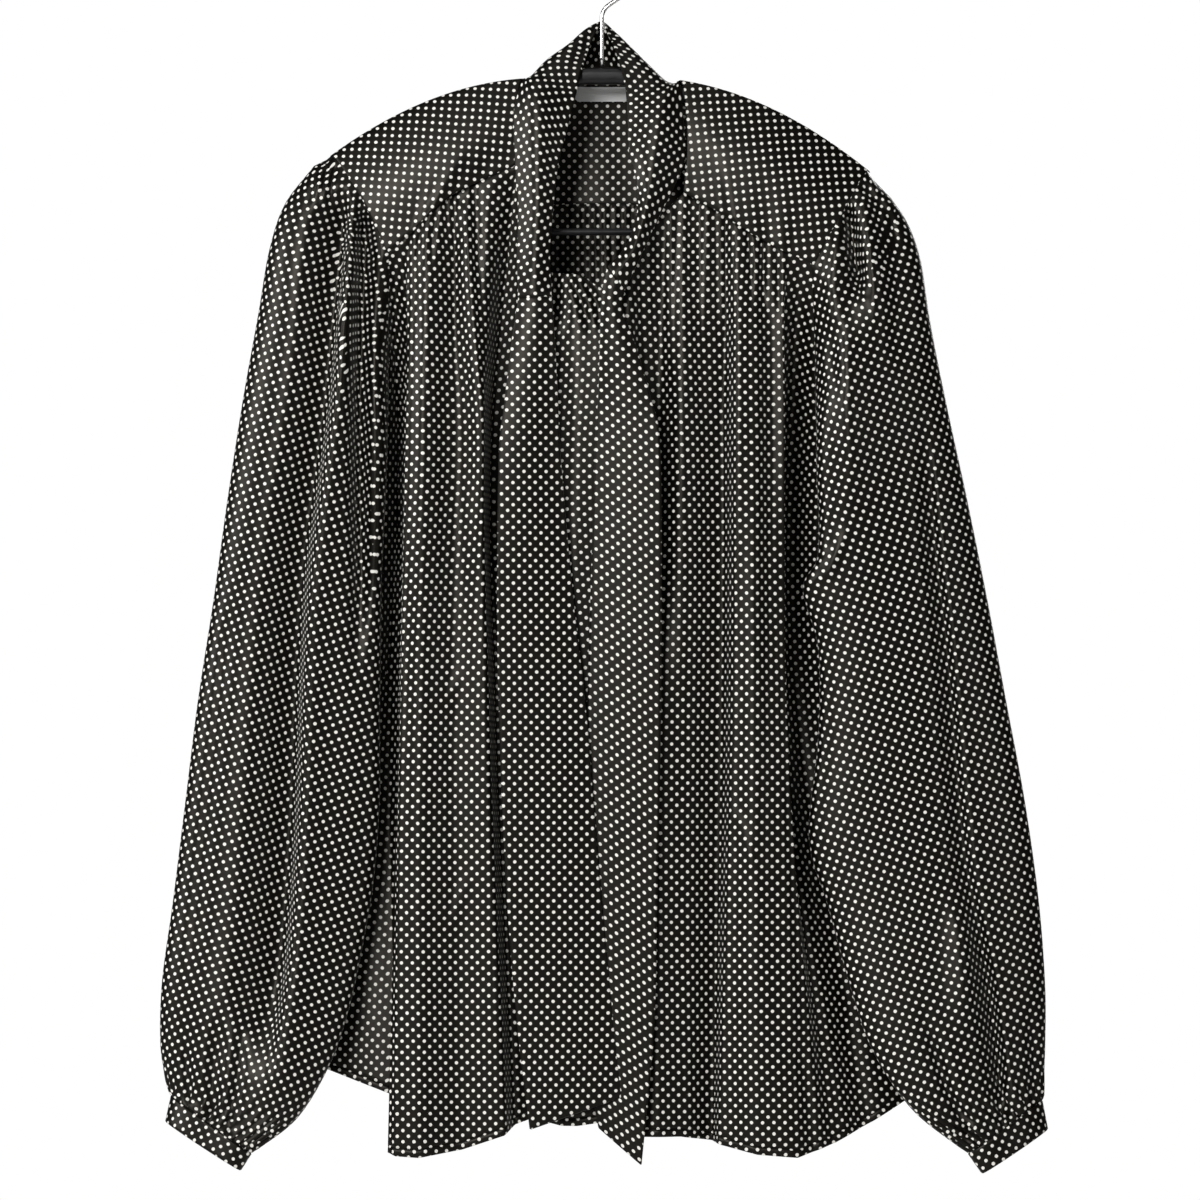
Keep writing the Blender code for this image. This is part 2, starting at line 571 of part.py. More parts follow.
def cuff_net(rows):
    """A cuff's rings from its seam to its lower edge."""
    seam, edge = np.array(rows, float)
    return rings_of(seam + (edge - seam) * np.linspace(0, 1, CUFF_ROWS)[:, None])


def main():
    for old in list(bpy.data.objects):
        bpy.data.objects.remove(old)
    holder = bpy.data.objects.new("blouse_on_hanger", None)
    bpy.context.collection.objects.link(holder)
    finishes = {name: material(name) for name in PALETTE}
    crepe, plastic = finishes["crepe"], finishes["black_plastic"]

    levels = np.linspace(0, 1, PANEL_LEVELS)
    wall("front_left", across_lines(panel_lines(FRONT_LEFT, levels), LINE_STEPS)[:, ::-1], crepe)
    wall("front_right", across_lines(panel_lines(FRONT_RIGHT, levels), LINE_STEPS), crepe)
    wall("back", across_lines(back_lines(levels), LINE_STEPS)[:, ::-1], crepe)
    wall("yoke", yoke_sections(LINE_STEPS), crepe)

    armhole_levels = np.linspace(0, 0.25, ARMHOLE_LEVELS)
    loop_left = armhole(FRONT_LEFT, 0, YOKE_LEFT, armhole_levels)
    loop_right = armhole(FRONT_RIGHT, len(BACK) - 1, YOKE_RIGHT, armhole_levels)
    wall("sleeve_left", sleeve_rings(SLEEVE_LEFT, loop_left, -1), crepe, closed=True)
    wall("sleeve_right", sleeve_rings(SLEEVE_RIGHT, loop_right, 1)[:, ::-1], crepe, closed=True)
    wall("cuff_left", cuff_net(CUFF_LEFT), crepe, closed=True)
    wall("cuff_right", cuff_net(CUFF_RIGHT)[:, ::-1], crepe, closed=True)

    wall("collar_band", band_sections(), crepe)
    wall("tie_left", tie_net(TIE_LEFT), crepe)
    wall("tie_right", tie_net(TIE_RIGHT), crepe)
    wall("label", label_net(), finishes["plain_label"], thickness=LABEL_THICKNESS)

    path = arm_path()
    share = np.abs(np.linspace(-1, 1, len(path)))[:, None]
    heights = 1 + (TIP_HALF_HEIGHT / ARM_HALF_HEIGHT - 1) * share
    tube("hanger_arms", path, oval(ARM_HALF_HEIGHT, ARM_HALF_DEPTH, ROD_SIDES, ARM_ROUNDNESS), plastic,
         np.concatenate([heights, np.ones_like(heights)], 1))
    bar = np.stack([np.linspace(*BAR_ENDS, BAR_POINTS), np.full(BAR_POINTS, -BAR_DOWN)], 1)
    tube("hanger_bar", bar, oval(BAR_RADIUS, BAR_RADIUS, ROD_SIDES), plastic)
    tube("hanger_hook", hook_path(), oval(WIRE_RADIUS, WIRE_RADIUS, ROD_SIDES), finishes["chrome"])


main()
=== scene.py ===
import bpy
import numpy as np
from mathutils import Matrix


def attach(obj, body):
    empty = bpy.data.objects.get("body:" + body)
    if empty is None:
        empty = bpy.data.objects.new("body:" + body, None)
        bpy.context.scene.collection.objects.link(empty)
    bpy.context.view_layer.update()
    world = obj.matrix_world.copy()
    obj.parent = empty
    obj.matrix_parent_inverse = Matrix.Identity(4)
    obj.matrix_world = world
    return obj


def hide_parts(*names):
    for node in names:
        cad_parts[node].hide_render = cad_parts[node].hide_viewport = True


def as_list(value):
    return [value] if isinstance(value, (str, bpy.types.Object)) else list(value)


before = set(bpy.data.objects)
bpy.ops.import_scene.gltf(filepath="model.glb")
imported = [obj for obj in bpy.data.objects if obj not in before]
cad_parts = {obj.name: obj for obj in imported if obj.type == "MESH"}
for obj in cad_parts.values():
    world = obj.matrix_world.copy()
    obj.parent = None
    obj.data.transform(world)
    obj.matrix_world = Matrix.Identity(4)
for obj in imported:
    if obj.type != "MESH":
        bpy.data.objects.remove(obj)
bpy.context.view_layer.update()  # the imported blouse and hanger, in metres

mm = 0.001
# Nets are in millimetres as across (to the viewer's right), down (below the hook's inside top) and fore (to the viewer).


# Curves and folds.

def columnsOf(names, rows):
    # a table's columns by name
    return dict(zip(names, np.array(rows, float).T))


def placesOf(c, name):
    return np.stack([c[name + "X"], c[name + "Down"], c[name + "Fore"]], 1)


def throughStations(stations, values, places):
    # cubic Hermite curve: the slope at each station is the difference of its neighbours
    stations, values = np.asarray(stations, float), np.asarray(values, float)
    slopes = np.gradient(values, stations, axis=0)
    at = np.clip(np.searchsorted(stations, places, side="right") - 1, 0, len(stations) - 2)
    step = stations[at + 1] - stations[at]
    t = ((places - stations[at]) / step).reshape((-1,) + (1,) * (values.ndim - 1))
    step = step.reshape(t.shape)
    start, end = values[at], values[at + 1]
    first, last = slopes[at] * step, slopes[at + 1] * step
    return ((2 * t**3 - 3 * t**2 + 1) * start + (t**3 - 2 * t**2 + t) * first
            + (3 * t**2 - 2 * t**3) * end + (t**3 - t**2) * last)


def smoothRows(rows, steps):
    # more rows between the given ones, on the same cubic
    places = np.linspace(0, len(rows) - 1, (len(rows) - 1) * steps + 1)
    return throughStations(np.arange(len(rows)), rows, places)


def linesBetween(lines, steps):
    # straight in across and down, (1 - cos(pi t)) / 2 in fore, so each table line is a ridge or a trough
    share = np.arange(steps) / steps
    wave = (1 - np.cos(np.pi * share)) / 2
    mix = np.stack([share, share, wave], 1)
    between = lines[:, :-1, None] + (lines[:, 1:] - lines[:, :-1])[:, :, None] * mix
    inner = between.reshape(lines.shape[0], -1, 3)
    return np.concatenate([inner, lines[:, -1:]], 1)


def smoothShare(t):
    # 3t^2 - 2t^3 between 0 and 1
    t = np.clip(t, 0, 1)
    return t * t * (3 - 2 * t)


def creaseField(across, down, creases):
    # the sum over creases of height * exp(-(distance to its line / width)^2), with its own width on each side,
    # spread and faded along the line
    field = np.zeros_like(across)
    for left, right, spread, height, fadeIn, fadeOut, *line in creases:
        line = np.array(line, float)
        lengths = np.linalg.norm(np.diff(line, axis=0), axis=1)
        startAt = np.concatenate([[0], np.cumsum(lengths)])
        nearest = np.full(across.shape, 1e9)
        along = np.zeros_like(across)
        onRight = np.zeros(across.shape, bool)
        for k, length in enumerate(lengths):
            way = (line[k + 1] - line[k]) / length
            t = np.clip((across - line[k, 0]) * way[0] + (down - line[k, 1]) * way[1], 0, length)
            offX, offDown = across - line[k, 0] - way[0] * t, down - line[k, 1] - way[1] * t
            gap = np.hypot(offX, offDown)
            closer = gap < nearest
            nearest = np.where(closer, gap, nearest)
            along = np.where(closer, (startAt[k] + t) / startAt[-1], along)
            onRight = np.where(closer, offX * way[1] - offDown * way[0] > 0, onRight)
        fade = np.ones_like(across)
        if fadeIn:
            fade *= smoothShare(along / fadeIn)
        if fadeOut:
            fade *= smoothShare((1 - along) / fadeOut)
        wide = np.where(onRight, right, left) * (1 + (spread - 1) * along)
        field += height * fade * np.exp(-(nearest / wide) ** 2)
    return field


def softWaves(across, down, height):
    # four slow sine waves that never line up: uneven hand of hanging cloth
    return height * (np.sin(across / 17 + 0.6 * np.sin(down / 83)) * 0.4 + np.sin(across / 9.7 - down / 140 + 1.3) * 0.25
                     + np.sin(down / 61 + across / 33 + 2.1) * 0.35 + np.sin(down / 37 - across / 21) * 0.2)


# Nets made into cloth and rods.

def toWorld(net):
    return np.stack([net[..., 0], -net[..., 2], -net[..., 1]], -1) * mm


def unit(vectors):
    return vectors / np.maximum(np.linalg.norm(vectors, axis=-1, keepdims=True), 1e-12)


def arcLengths(points, axis):
    # the running length of the grid's lines along one of its two directions, from 0
    lengths = np.cumsum(np.linalg.norm(np.diff(points, axis=axis), axis=-1), axis)
    return np.insert(lengths, 0, 0, axis)


def surfaceNormals(points, closed):
    # cross product of the differences along the two directions of the grid
    if closed:
        along = np.roll(points, -1, 1) - np.roll(points, 1, 1)
    else:
        along = np.gradient(points, axis=1)
    return unit(np.cross(along, np.gradient(points, axis=0)))


def turnedMap(across, down, degrees):
    # the lattice's own coordinates, its rows rising to the right by that angle
    a = np.radians(degrees)
    return np.stack([across * np.cos(a) - down * np.sin(a), across * np.sin(a) + down * np.cos(a)], -1)


def clothMap(points, look):
    # the cloth laid flat, in metres: down is measured along its hang, across sums the steps square to it
    closed, count = look.get("closed", False), points.shape[1]
    middle = look.get("middleColumn", count // 2)
    hang = np.radians(look.get("hang", 0))
    axis, side = np.array((np.sin(hang), 0, -np.cos(hang))), np.array((np.cos(hang), 0, np.sin(hang)))
    wrapped = np.concatenate([points, points[:, :1]], 1) if closed else points
    step = np.diff(wrapped, axis=1)
    square = np.sqrt(np.maximum((step**2).sum(2) - (step @ axis) ** 2, 0))
    across = np.insert(np.cumsum(square, 1), 0, 0, 1)
    flow = 1 if closed else np.sign(((points[:, -1] - points[:, 0]) @ side).mean())
    across = flow * (across - across[:, middle:middle + 1]) + (wrapped[:, middle] @ side)[:, None]
    down = wrapped @ axis
    for coarse in springs["coarse"]:
        across, down = laidFlat(wrapped, across, down, coarse)
    skewTop, skewEnd = look.get("skew", (0, 0))
    share = np.linspace(0, 1, len(points))[:, None]
    down = down - (across - across.mean()) * (skewTop + (skewEnd - skewTop) * share)
    return turnedMap(across, down, look.get("latticeTurn", 45) - np.degrees(hang))


springs = {"coarse": (12, 6, 3), "rounds": 1500, "pull": 0.24}  # grid steps from coarse to fine, rounds at each


def laidFlat(points, across, down, coarse):
    # springs of the cloth's own arc lengths, along, down and on both diagonals of a coarse grid, pull the map true
    rows, count = across.shape
    r = np.unique(np.append(np.arange(0, rows, coarse), rows - 1))
    k = np.unique(np.append(np.arange(0, count, coarse), count - 1))
    alongAt, downAt = arcLengths(points, 1), arcLengths(points, 0)
    flat = np.stack([across, down], 2)[np.ix_(r, k)]
    p = points[np.ix_(r, k)]
    ownAlong, ownDown = np.diff(alongAt[np.ix_(r, k)], axis=1), np.diff(downAt[np.ix_(r, k)], axis=0)
    a, b = np.diff(p, axis=1)[:-1], np.diff(p, axis=0)[:, :-1]
    cosine = (a * b).sum(2) / np.maximum(np.linalg.norm(a, axis=2) * np.linalg.norm(b, axis=2), 1e-12)
    dot = ownAlong[:-1] * ownDown[:, :-1] * cosine
    square = ownAlong[:-1] ** 2 + ownDown[:, :-1] ** 2
    falling, rising = (np.sqrt(np.maximum(square + 2 * way * dot, 1e-12)) for way in (1, -1))
    every, first, last = slice(None), slice(None, -1), slice(1, None)
    links = [((every, first), (every, last), ownAlong), ((first, every), (last, every), ownDown),
             ((first, first), (last, last), falling), ((first, last), (last, first), rising)]
    for _ in range(springs["rounds"]):
        pull = np.zeros_like(flat)
        for one, two, own in links:
            gap = flat[two] - flat[one]
            length = np.maximum(np.linalg.norm(gap, axis=2), 1e-9)
            move = gap * ((length - own) / length)[..., None] / 2
            pull[one] += move
            pull[two] -= move
        flat += pull * springs["pull"]
    rowAt = downAt.mean(1)
    for i in (0, 1):
        wide = np.stack([np.interp(alongAt[at], alongAt[at, k], line[:, i]) for at, line in zip(r, flat)])
        yield np.stack([np.interp(rowAt, rowAt[r], line) for line in wide.T], 1)


def gridFaces(rows, count, closed):
    # one quad for each cell of the grid, and the same cells' corners in the wrapped map
    r, k = np.meshgrid(np.arange(rows - 1), np.arange(count if closed else count - 1), indexing="ij")
    r, k = r.ravel(), k.ravel()
    a, b = r * count + k, r * count + (k + 1) % count
    quads = np.stack([a, b, b + count, a + count], 1)
    wide = count + 1 if closed else count
    m = r * wide + k
    corners = np.stack([m, m + 1, m + 1 + wide, m + wide], 1)
    return quads, corners


def placed(name, mesh, material):
    # an object at the origin that stands for the node its name starts with
    mesh.materials.append(material)
    mesh.shade_smooth()
    piece = bpy.data.objects.new(name, mesh)
    bpy.context.collection.objects.link(piece)
    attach(piece, "root")
    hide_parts(name.rpartition("_")[0])
    return piece


crepeThickness = 0.5  # in mm


def makeCloth(name, net, look, charts=None):
    # a cloth wall: the middle surface moved out and in by half its thickness, closed by rims with a rounded edge;
    # charts are (first row, map) where the cloth's map changes from one row to the next
    closed = look.get("closed", False)
    points = toWorld(net)
    rows, count = points.shape[:2]
    normal = surfaceNormals(points, closed)
    half = look.get("thickness", crepeThickness) * mm / 2
    near = (points + normal * half).reshape(-1, 3)
    far = (points - normal * half).reshape(-1, 3)
    charts = charts or [(0, clothMap(points, look))]
    wide = count + 1 if closed else count
    flatUv = np.concatenate([chart.reshape(-1, 2) for _, chart in charts])
    firsts = np.array([first for first, _ in charts])
    offsets = np.cumsum([0] + [chart.shape[0] * wide for _, chart in charts])[:-1] - firsts * wide
    offsetOf = offsets[np.searchsorted(firsts, np.arange(rows - 1), side="right") - 1]
    quads, corners = gridFaces(rows, count, closed)
    corners = corners + np.repeat(offsetOf, count if closed else count - 1)[:, None]
    offsetOf = np.append(offsetOf, offsetOf[-1])
    size = rows * count
    faces = [quads, quads[:, ::-1] + size]
    maps = [corners, corners[:, ::-1]]

    def rim(order, outward):
        # a strip over the edge, with a middle row pushed outward by half the thickness
        crest = points.reshape(-1, 3)[order] + outward * half
        start = size * 2 + len(extra)
        extra.extend(crest)
        ring = np.arange(start, start + len(order))
        mapAt = (order // count) * wide + order % count + offsetOf[order // count]
        last = len(order) if closed else len(order) - 1
        i = np.arange(last)
        j = (i + 1) % len(order)
        mi = mapAt[i]
        mj = mi + 1 if closed else mapAt[j]
        faces.append(np.stack([order[j], order[i], ring[i], ring[j]], 1))
        faces.append(np.stack([ring[j], ring[i], order[i] + size, order[j] + size], 1))
        maps.extend([np.stack([mj, mi, mi, mj], 1)] * 2)

    extra = []
    down = unit(np.gradient(points, axis=0))
    rim(np.arange(count), -down[0])
    way = slice(None) if closed else slice(None, None, -1)
    rim((rows - 1) * count + np.arange(count)[way], down[-1][way])
    if closed:
        for table in (faces, maps):
            table[-2:] = [part[:, ::-1] for part in table[-2:]]
    else:
        side = unit(np.gradient(points, axis=1))
        rim(np.arange(rows)[::-1] * count, -side[::-1, 0])
        rim(np.arange(rows) * count + count - 1, side[:, -1])
    vertices = np.concatenate([near, far, np.array(extra)])
    allFaces, allMaps = np.concatenate(faces), np.concatenate(maps)
    mesh = bpy.data.meshes.new(name)
    mesh.from_pydata(vertices, [], allFaces)
    mesh.uv_layers.new(name="cloth").data.foreach_set("uv", flatUv[allMaps.ravel()].ravel().astype(np.float32))
    piece = placed(name, mesh, crepe)
    flat = arcLengths(points, 1)[:, -1].mean(), arcLengths(points, 0)[-1].mean()
    print(f"{name}: {len(allFaces)} faces, {flat[0] / mm:.0f} x {flat[1] / mm:.0f} mm of cloth")
    look.get("held", "hung")
    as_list(look.get("restsOn", ["yoke_cloth"]))


def makeRod(name, path, section, material, scales=np.ones((1, 2))):
    # a section carried along a path in the hanger's plane, its two ends closed flat
    ahead = unit(np.gradient(path, axis=0))
    side = np.stack([-ahead[:, 1], ahead[:, 0]], 1)
    count = len(section)
    scales = np.broadcast_to(scales, (len(path), 2))
    x = path[:, None, 0] + side[:, None, 0] * section[:, 0] * scales[:, :1]
    z = path[:, None, 1] + side[:, None, 1] * section[:, 0] * scales[:, :1]
    y = section[:, 1] * scales[:, 1:]
    points = np.stack([x, y, z], 2) * mm
    quads, _ = gridFaces(len(path), count, True)
    faces = [tuple(q) for q in quads[:, ::-1]]
    faces += [tuple(range(count)), tuple(range((len(path) - 1) * count, len(path) * count))[::-1]]
    mesh = bpy.data.meshes.new(name)
    mesh.from_pydata(points.reshape(-1, 3), [], faces)
    placed(name, mesh, material)
    print(f"{name}: {len(faces)} faces")


# Finishes.

def feed(tree, node, inputs):
    # another node's output is linked, anything else is set on the socket
    for key, value in inputs.items():
        if isinstance(value, bpy.types.NodeSocket):
            tree.links.new(value, node.inputs[key])
        else:
            node.inputs[key].default_value = value


def addNode(tree, kind, inputs=None, **settings):
    made = tree.nodes.new("ShaderNode" + kind)
    for key, value in settings.items():
        setattr(made, key, value)
    feed(tree, made, inputs or {})
    return made


def vectorStep(tree, operation, first, second=None):
    inputs = {0: first} if second is None else {0: first, "Scale" if operation == "SCALE" else 1: second}
    return addNode(tree, "VectorMath", inputs, operation=operation).outputs[0]


def mixed(tree, factor, first, second):
    return addNode(tree, "Mix", {"Factor": factor, "A": first, "B": second}, data_type="RGBA").outputs["Result"]


def bumped(tree, height, strength, distance):
    return addNode(tree, "Bump", {"Height": height, "Strength": strength, "Distance": distance * mm}).outputs[0]


def newGroup(name, ins, outs):
    group = bpy.data.node_groups.new(name, "ShaderNodeTree")
    for label, kind, value in ins:
        socket = group.interface.new_socket(label, in_out="INPUT", socket_type=kind)
        if value is not None:
            socket.default_value = value
    for label, kind in outs:
        group.interface.new_socket(label, in_out="OUTPUT", socket_type=kind)
    return group, group.nodes.new("NodeGroupInput"), group.nodes.new("NodeGroupOutput")


def pinDotGroup():
    # round dots on a square lattice: the distance from the middle of each cell, cut softly at the dot's radius
    group, given, out = newGroup(
        "pinDots",
        [("Vector", "NodeSocketVector", None), ("Dots Per Metre", "NodeSocketFloat", 200.0),
         ("Radius", "NodeSocketFloat", 0.21), ("Softness", "NodeSocketFloat", 0.03)],
        [("Dots", "NodeSocketFloat")])
    take = given.outputs
    wander = addNode(group, "TexNoise", {"Vector": take["Vector"], "Scale": crepeLook["wanderPerMetre"], "Detail": 1.0})
    off = vectorStep(group, "SUBTRACT", wander.outputs["Color"], (0.5, 0.5, 0.5))
    moved = vectorStep(group, "ADD", take["Vector"], vectorStep(group, "SCALE", off, crepeLook["wander"] * mm))
    cell = vectorStep(group, "FRACTION", vectorStep(group, "SCALE", moved, take["Dots Per Metre"]))
    flat = vectorStep(group, "MULTIPLY", vectorStep(group, "SUBTRACT", cell, (0.5, 0.5, 0.5)), (1, 1, 0))
    far = addNode(group, "VectorMath", {0: flat}, operation="LENGTH").outputs["Value"]
    inner, outer = (addNode(group, "Math", {0: take["Radius"], 1: take["Softness"]}, operation=way).outputs[0]
                    for way in ("SUBTRACT", "ADD"))
    cut = addNode(group, "MapRange", {"Value": far, "From Min": inner, "From Max": outer, "To Min": 1.0, "To Max": 0.0},
                  interpolation_type="SMOOTHSTEP")
    group.links.new(cut.outputs[0], out.inputs["Dots"])
    return group


def crepeGrainGroup():
    # crepe's pebbled face: a fine noise and cells for the height, a slow noise for the cloth's uneven black
    group, given, out = newGroup(
        "crepeGrain",
        [("Vector", "NodeSocketVector", None), ("Grain Per Metre", "NodeSocketFloat", 1400.0)],
        [("Height", "NodeSocketFloat"), ("Shade", "NodeSocketFloat")])
    fine = {"Vector": given.outputs["Vector"], "Scale": given.outputs["Grain Per Metre"]}
    grain = addNode(group, "TexNoise", fine | {"Detail": 2.0})
    twist = addNode(group, "TexVoronoi", fine)
    height = addNode(group, "Math", {0: grain.outputs["Fac"], 1: twist.outputs["Distance"]}, operation="ADD")
    slow = addNode(group, "TexNoise", {"Vector": given.outputs["Vector"], "Scale": 22.0, "Detail": 4.0})
    feed(group, out, {"Height": height.outputs[0], "Shade": slow.outputs["Fac"]})
    return group


def fineWearGroup():
    # faint handling marks: a stretched noise that lifts and lowers the roughness
    group, given, out = newGroup(
        "fineWear",
        [("Vector", "NodeSocketVector", None), ("Smoothest", "NodeSocketFloat", 0.3), ("Roughest", "NodeSocketFloat", 0.45)],
        [("Roughness", "NodeSocketFloat"), ("Height", "NodeSocketFloat")])
    stretch = vectorStep(group, "MULTIPLY", given.outputs["Vector"], (180, 700, 700))
    marks = addNode(group, "TexNoise", {"Vector": stretch, "Scale": 1.0, "Detail": 3.0}).outputs["Fac"]
    rough = addNode(group, "MapRange", {"Value": marks, "From Min": 0.3, "From Max": 0.7,
                                        "To Min": given.outputs["Smoothest"], "To Max": given.outputs["Roughest"]})
    feed(group, out, {"Roughness": rough.outputs[0], "Height": marks})
    return group


def newMaterial(name):
    made = bpy.data.materials.new(name)
    made.use_nodes = True
    return made, made.node_tree, made.node_tree.nodes["Principled BSDF"]


crepeLook = {
    "black": (0.0012, 0.0010, 0.0007, 1), "worn": (0.0030, 0.0025, 0.0018, 1), "cream": (0.88, 0.86, 0.80, 1),
    "dotsPerMetre": 197.0, "dotRadius": 0.215,  # the radius is a share of the lattice's pitch
    "wanderPerMetre": 60.0, "wander": 0.7,  # how far a dot strays, in mm
    "roughness": 0.4, "specular": 0.22, "sheen": (1.0, 0.93, 0.82, 1), "grainHeight": 0.06,
}


def crepeMaterial():
    made, tree, shader = newMaterial("dottedCrepe")
    at = addNode(tree, "UVMap", uv_map="cloth").outputs[0]
    given = {"Vector": at, "Dots Per Metre": crepeLook["dotsPerMetre"], "Radius": crepeLook["dotRadius"]}
    dots = addNode(tree, "Group", given, node_tree=pinDots).outputs["Dots"]
    grain = addNode(tree, "Group", {"Vector": at}, node_tree=crepeGrain).outputs
    ground = mixed(tree, grain["Shade"], crepeLook["black"], crepeLook["worn"])
    feed(tree, shader, {"Base Color": mixed(tree, dots, ground, crepeLook["cream"]),
                        "Normal": bumped(tree, grain["Height"], 0.5, crepeLook["grainHeight"]),
                        "Roughness": crepeLook["roughness"], "Specular IOR Level": crepeLook["specular"],
                        "Specular Tint": crepeLook["sheen"]})
    return made


def tapeMaterial():
    # plain white woven tape: sine ribs in one direction over a fine grain
    made, tree, shader = newMaterial("wovenTape")
    at = addNode(tree, "TexCoord").outputs["Object"]
    grain = addNode(tree, "Group", {"Vector": at, "Grain Per Metre": 2400.0}, node_tree=crepeGrain).outputs
    ribs = addNode(tree, "TexWave", {"Vector": at, "Scale": 700.0, "Distortion": 0.4}, bands_direction="Z")
    height = addNode(tree, "Math", {0: ribs.outputs["Fac"], 1: grain["Height"]}, operation="ADD")
    feed(tree, shader, {"Base Color": mixed(tree, grain["Shade"], (0.93, 0.93, 0.92, 1), (0.97, 0.97, 0.96, 1)),
                        "Normal": bumped(tree, height.outputs[0], 0.4, 0.08), "Roughness": 0.7})
    return made


def wornMaterial(name, smoothest, roughest, inputs):
    # a smooth hard finish: handling marks in its roughness
    made, tree, shader = newMaterial(name)
    at = addNode(tree, "TexCoord").outputs["Object"]
    wear = addNode(tree, "Group", {"Vector": at, "Smoothest": smoothest, "Roughest": roughest}, node_tree=fineWear).outputs
    feed(tree, shader, inputs | {"Roughness": wear["Roughness"]})
    return made, tree, shader, wear["Height"]


def plasticMaterial():
    made, tree, shader, marks = wornMaterial("blackPlastic", 0.28, 0.44,
                                             {"Base Color": (0.006, 0.0055, 0.006, 1), "Specular IOR Level": 0.35})
    feed(tree, shader, {"Normal": bumped(tree, marks, 0.15, 0.05)})
    return made


pinDots, crepeGrain, fineWear = pinDotGroup(), crepeGrainGroup(), fineWearGroup()
crepe, tape, plastic = crepeMaterial(), tapeMaterial(), plasticMaterial()
chrome = wornMaterial("drawnChrome", 0.08, 0.2, {"Base Color": (0.72, 0.71, 0.70, 1), "Metallic": 1.0})[0]
print("finishes made")


# Fronts and back.

panelColumns = ("topX", "topDown", "topFore", "chestX", "chestFore", "waistX", "waistFore", "hemX", "hemDown", "hemFore")
panelLevels = {"chestDown": 301.0, "waistDown": 496.0, "stations": (0, 0.19, 0.53, 1),
               "underarmDown": 275.0, "sideSeamGap": 1.6}

gathered = {"steps": 10, "held": "gathered"}

frontLeft = {
    # from the closing edge to the side seam, each row a ridge or a trough
    "lines": (
        (6, 234, 30, 6, 36, 3, 38, -2, 768, 38),
        (-14, 221, 29, -14, 36, -18, 38, -16, 770, 38),
        (-34, 219, 27, -32, 30, -34, 36, -26, 770, 37),
        (-49, 212, 22, -47, 28, -47, 34, -34, 768, 36),
        (-51, 178, 14, -60, 0, -60, 16, -46, 766, 26),
        (-55, 149, 15, -70, -2, -69, 12, -56, 770, 22),
        (-74, 157, 16, -77, 32, -74, 39, -63, 776, 41),
        (-96, 168, 18, -94, 27, -96, 36, -90, 785, 40),
        (-112, 181, 22, -115, 38, -117, 43, -118, 790, 47),
        (-120, 190, 21, -125, 33, -129, 40, -133, 789, 46),
        (-125, 195, 20, -127, 28, -131, 33, -138, 787, 40),
        (-129, 198, 20, -123, 8, -125, 6, -130, 772, 26),
        (-134, 203, 20, -135, -10, -139, -12, -134, 752, 14),
        (-139, 206, 20, -141, 4, -149, 0, -196, 729, 0),
    ),
    "yokeFirst": 5, "rows": 200, **gathered,
    # left and right width, spread, height, fade in, fade out, then points across and down
    "creases": (
        (6.0, 2.4, 1.2, 6.5, 0.15, 0.4, (-88, 164), (-86, 203), (-82, 260), (-78, 301), (-76, 345), (-75, 420)),
        (2.4, 2.4, 1.8, -4.5, 0, 0.7, (-95.5, 168), (-95.5, 225), (-95, 300)),
        (1.6, 1.6, 1.5, -3.2, 0, 0.8, (-101, 172), (-101, 200), (-102, 240)),
        (1.5, 1.5, 1.5, -2.6, 0, 0.8, (-90, 165), (-91, 190), (-91, 222)),
        (1.8, 1.8, 1.5, -2.2, 0, 0.8, (-83, 162), (-81, 200), (-79, 240)),
        (1.6, 1.6, 1.4, -2.4, 0, 0.7, (-107, 178), (-110, 196), (-111, 225)),
        (1.6, 1.6, 1.4, -2.2, 0, 0.7, (-115, 186), (-119, 200), (-121, 224)),
        (1.8, 1.8, 1.4, -2.2, 0, 0.7, (-123, 194), (-126, 210), (-127, 236)),
        (3.0, 6.0, 1.3, -9, 0, 0.5, (-31, 219), (-31, 240), (-33, 268)),
        (2.0, 2.0, 1.3, -4, 0, 0.4, (-22, 220), (-14, 236), (-6, 262)),
        (2.0, 2.0, 1.3, -4, 0, 0.5, (-10, 226), (-3, 240), (0, 262)),
        (3.0, 3.0, 1.5, 1.2, 0.3, 0.4, (-90, 470), (-104, 510), (-108, 560)),
        (3.0, 3.0, 1.5, 1.0, 0.3, 0.4, (-84, 600), (-100, 650), (-104, 690)),
    ),
}
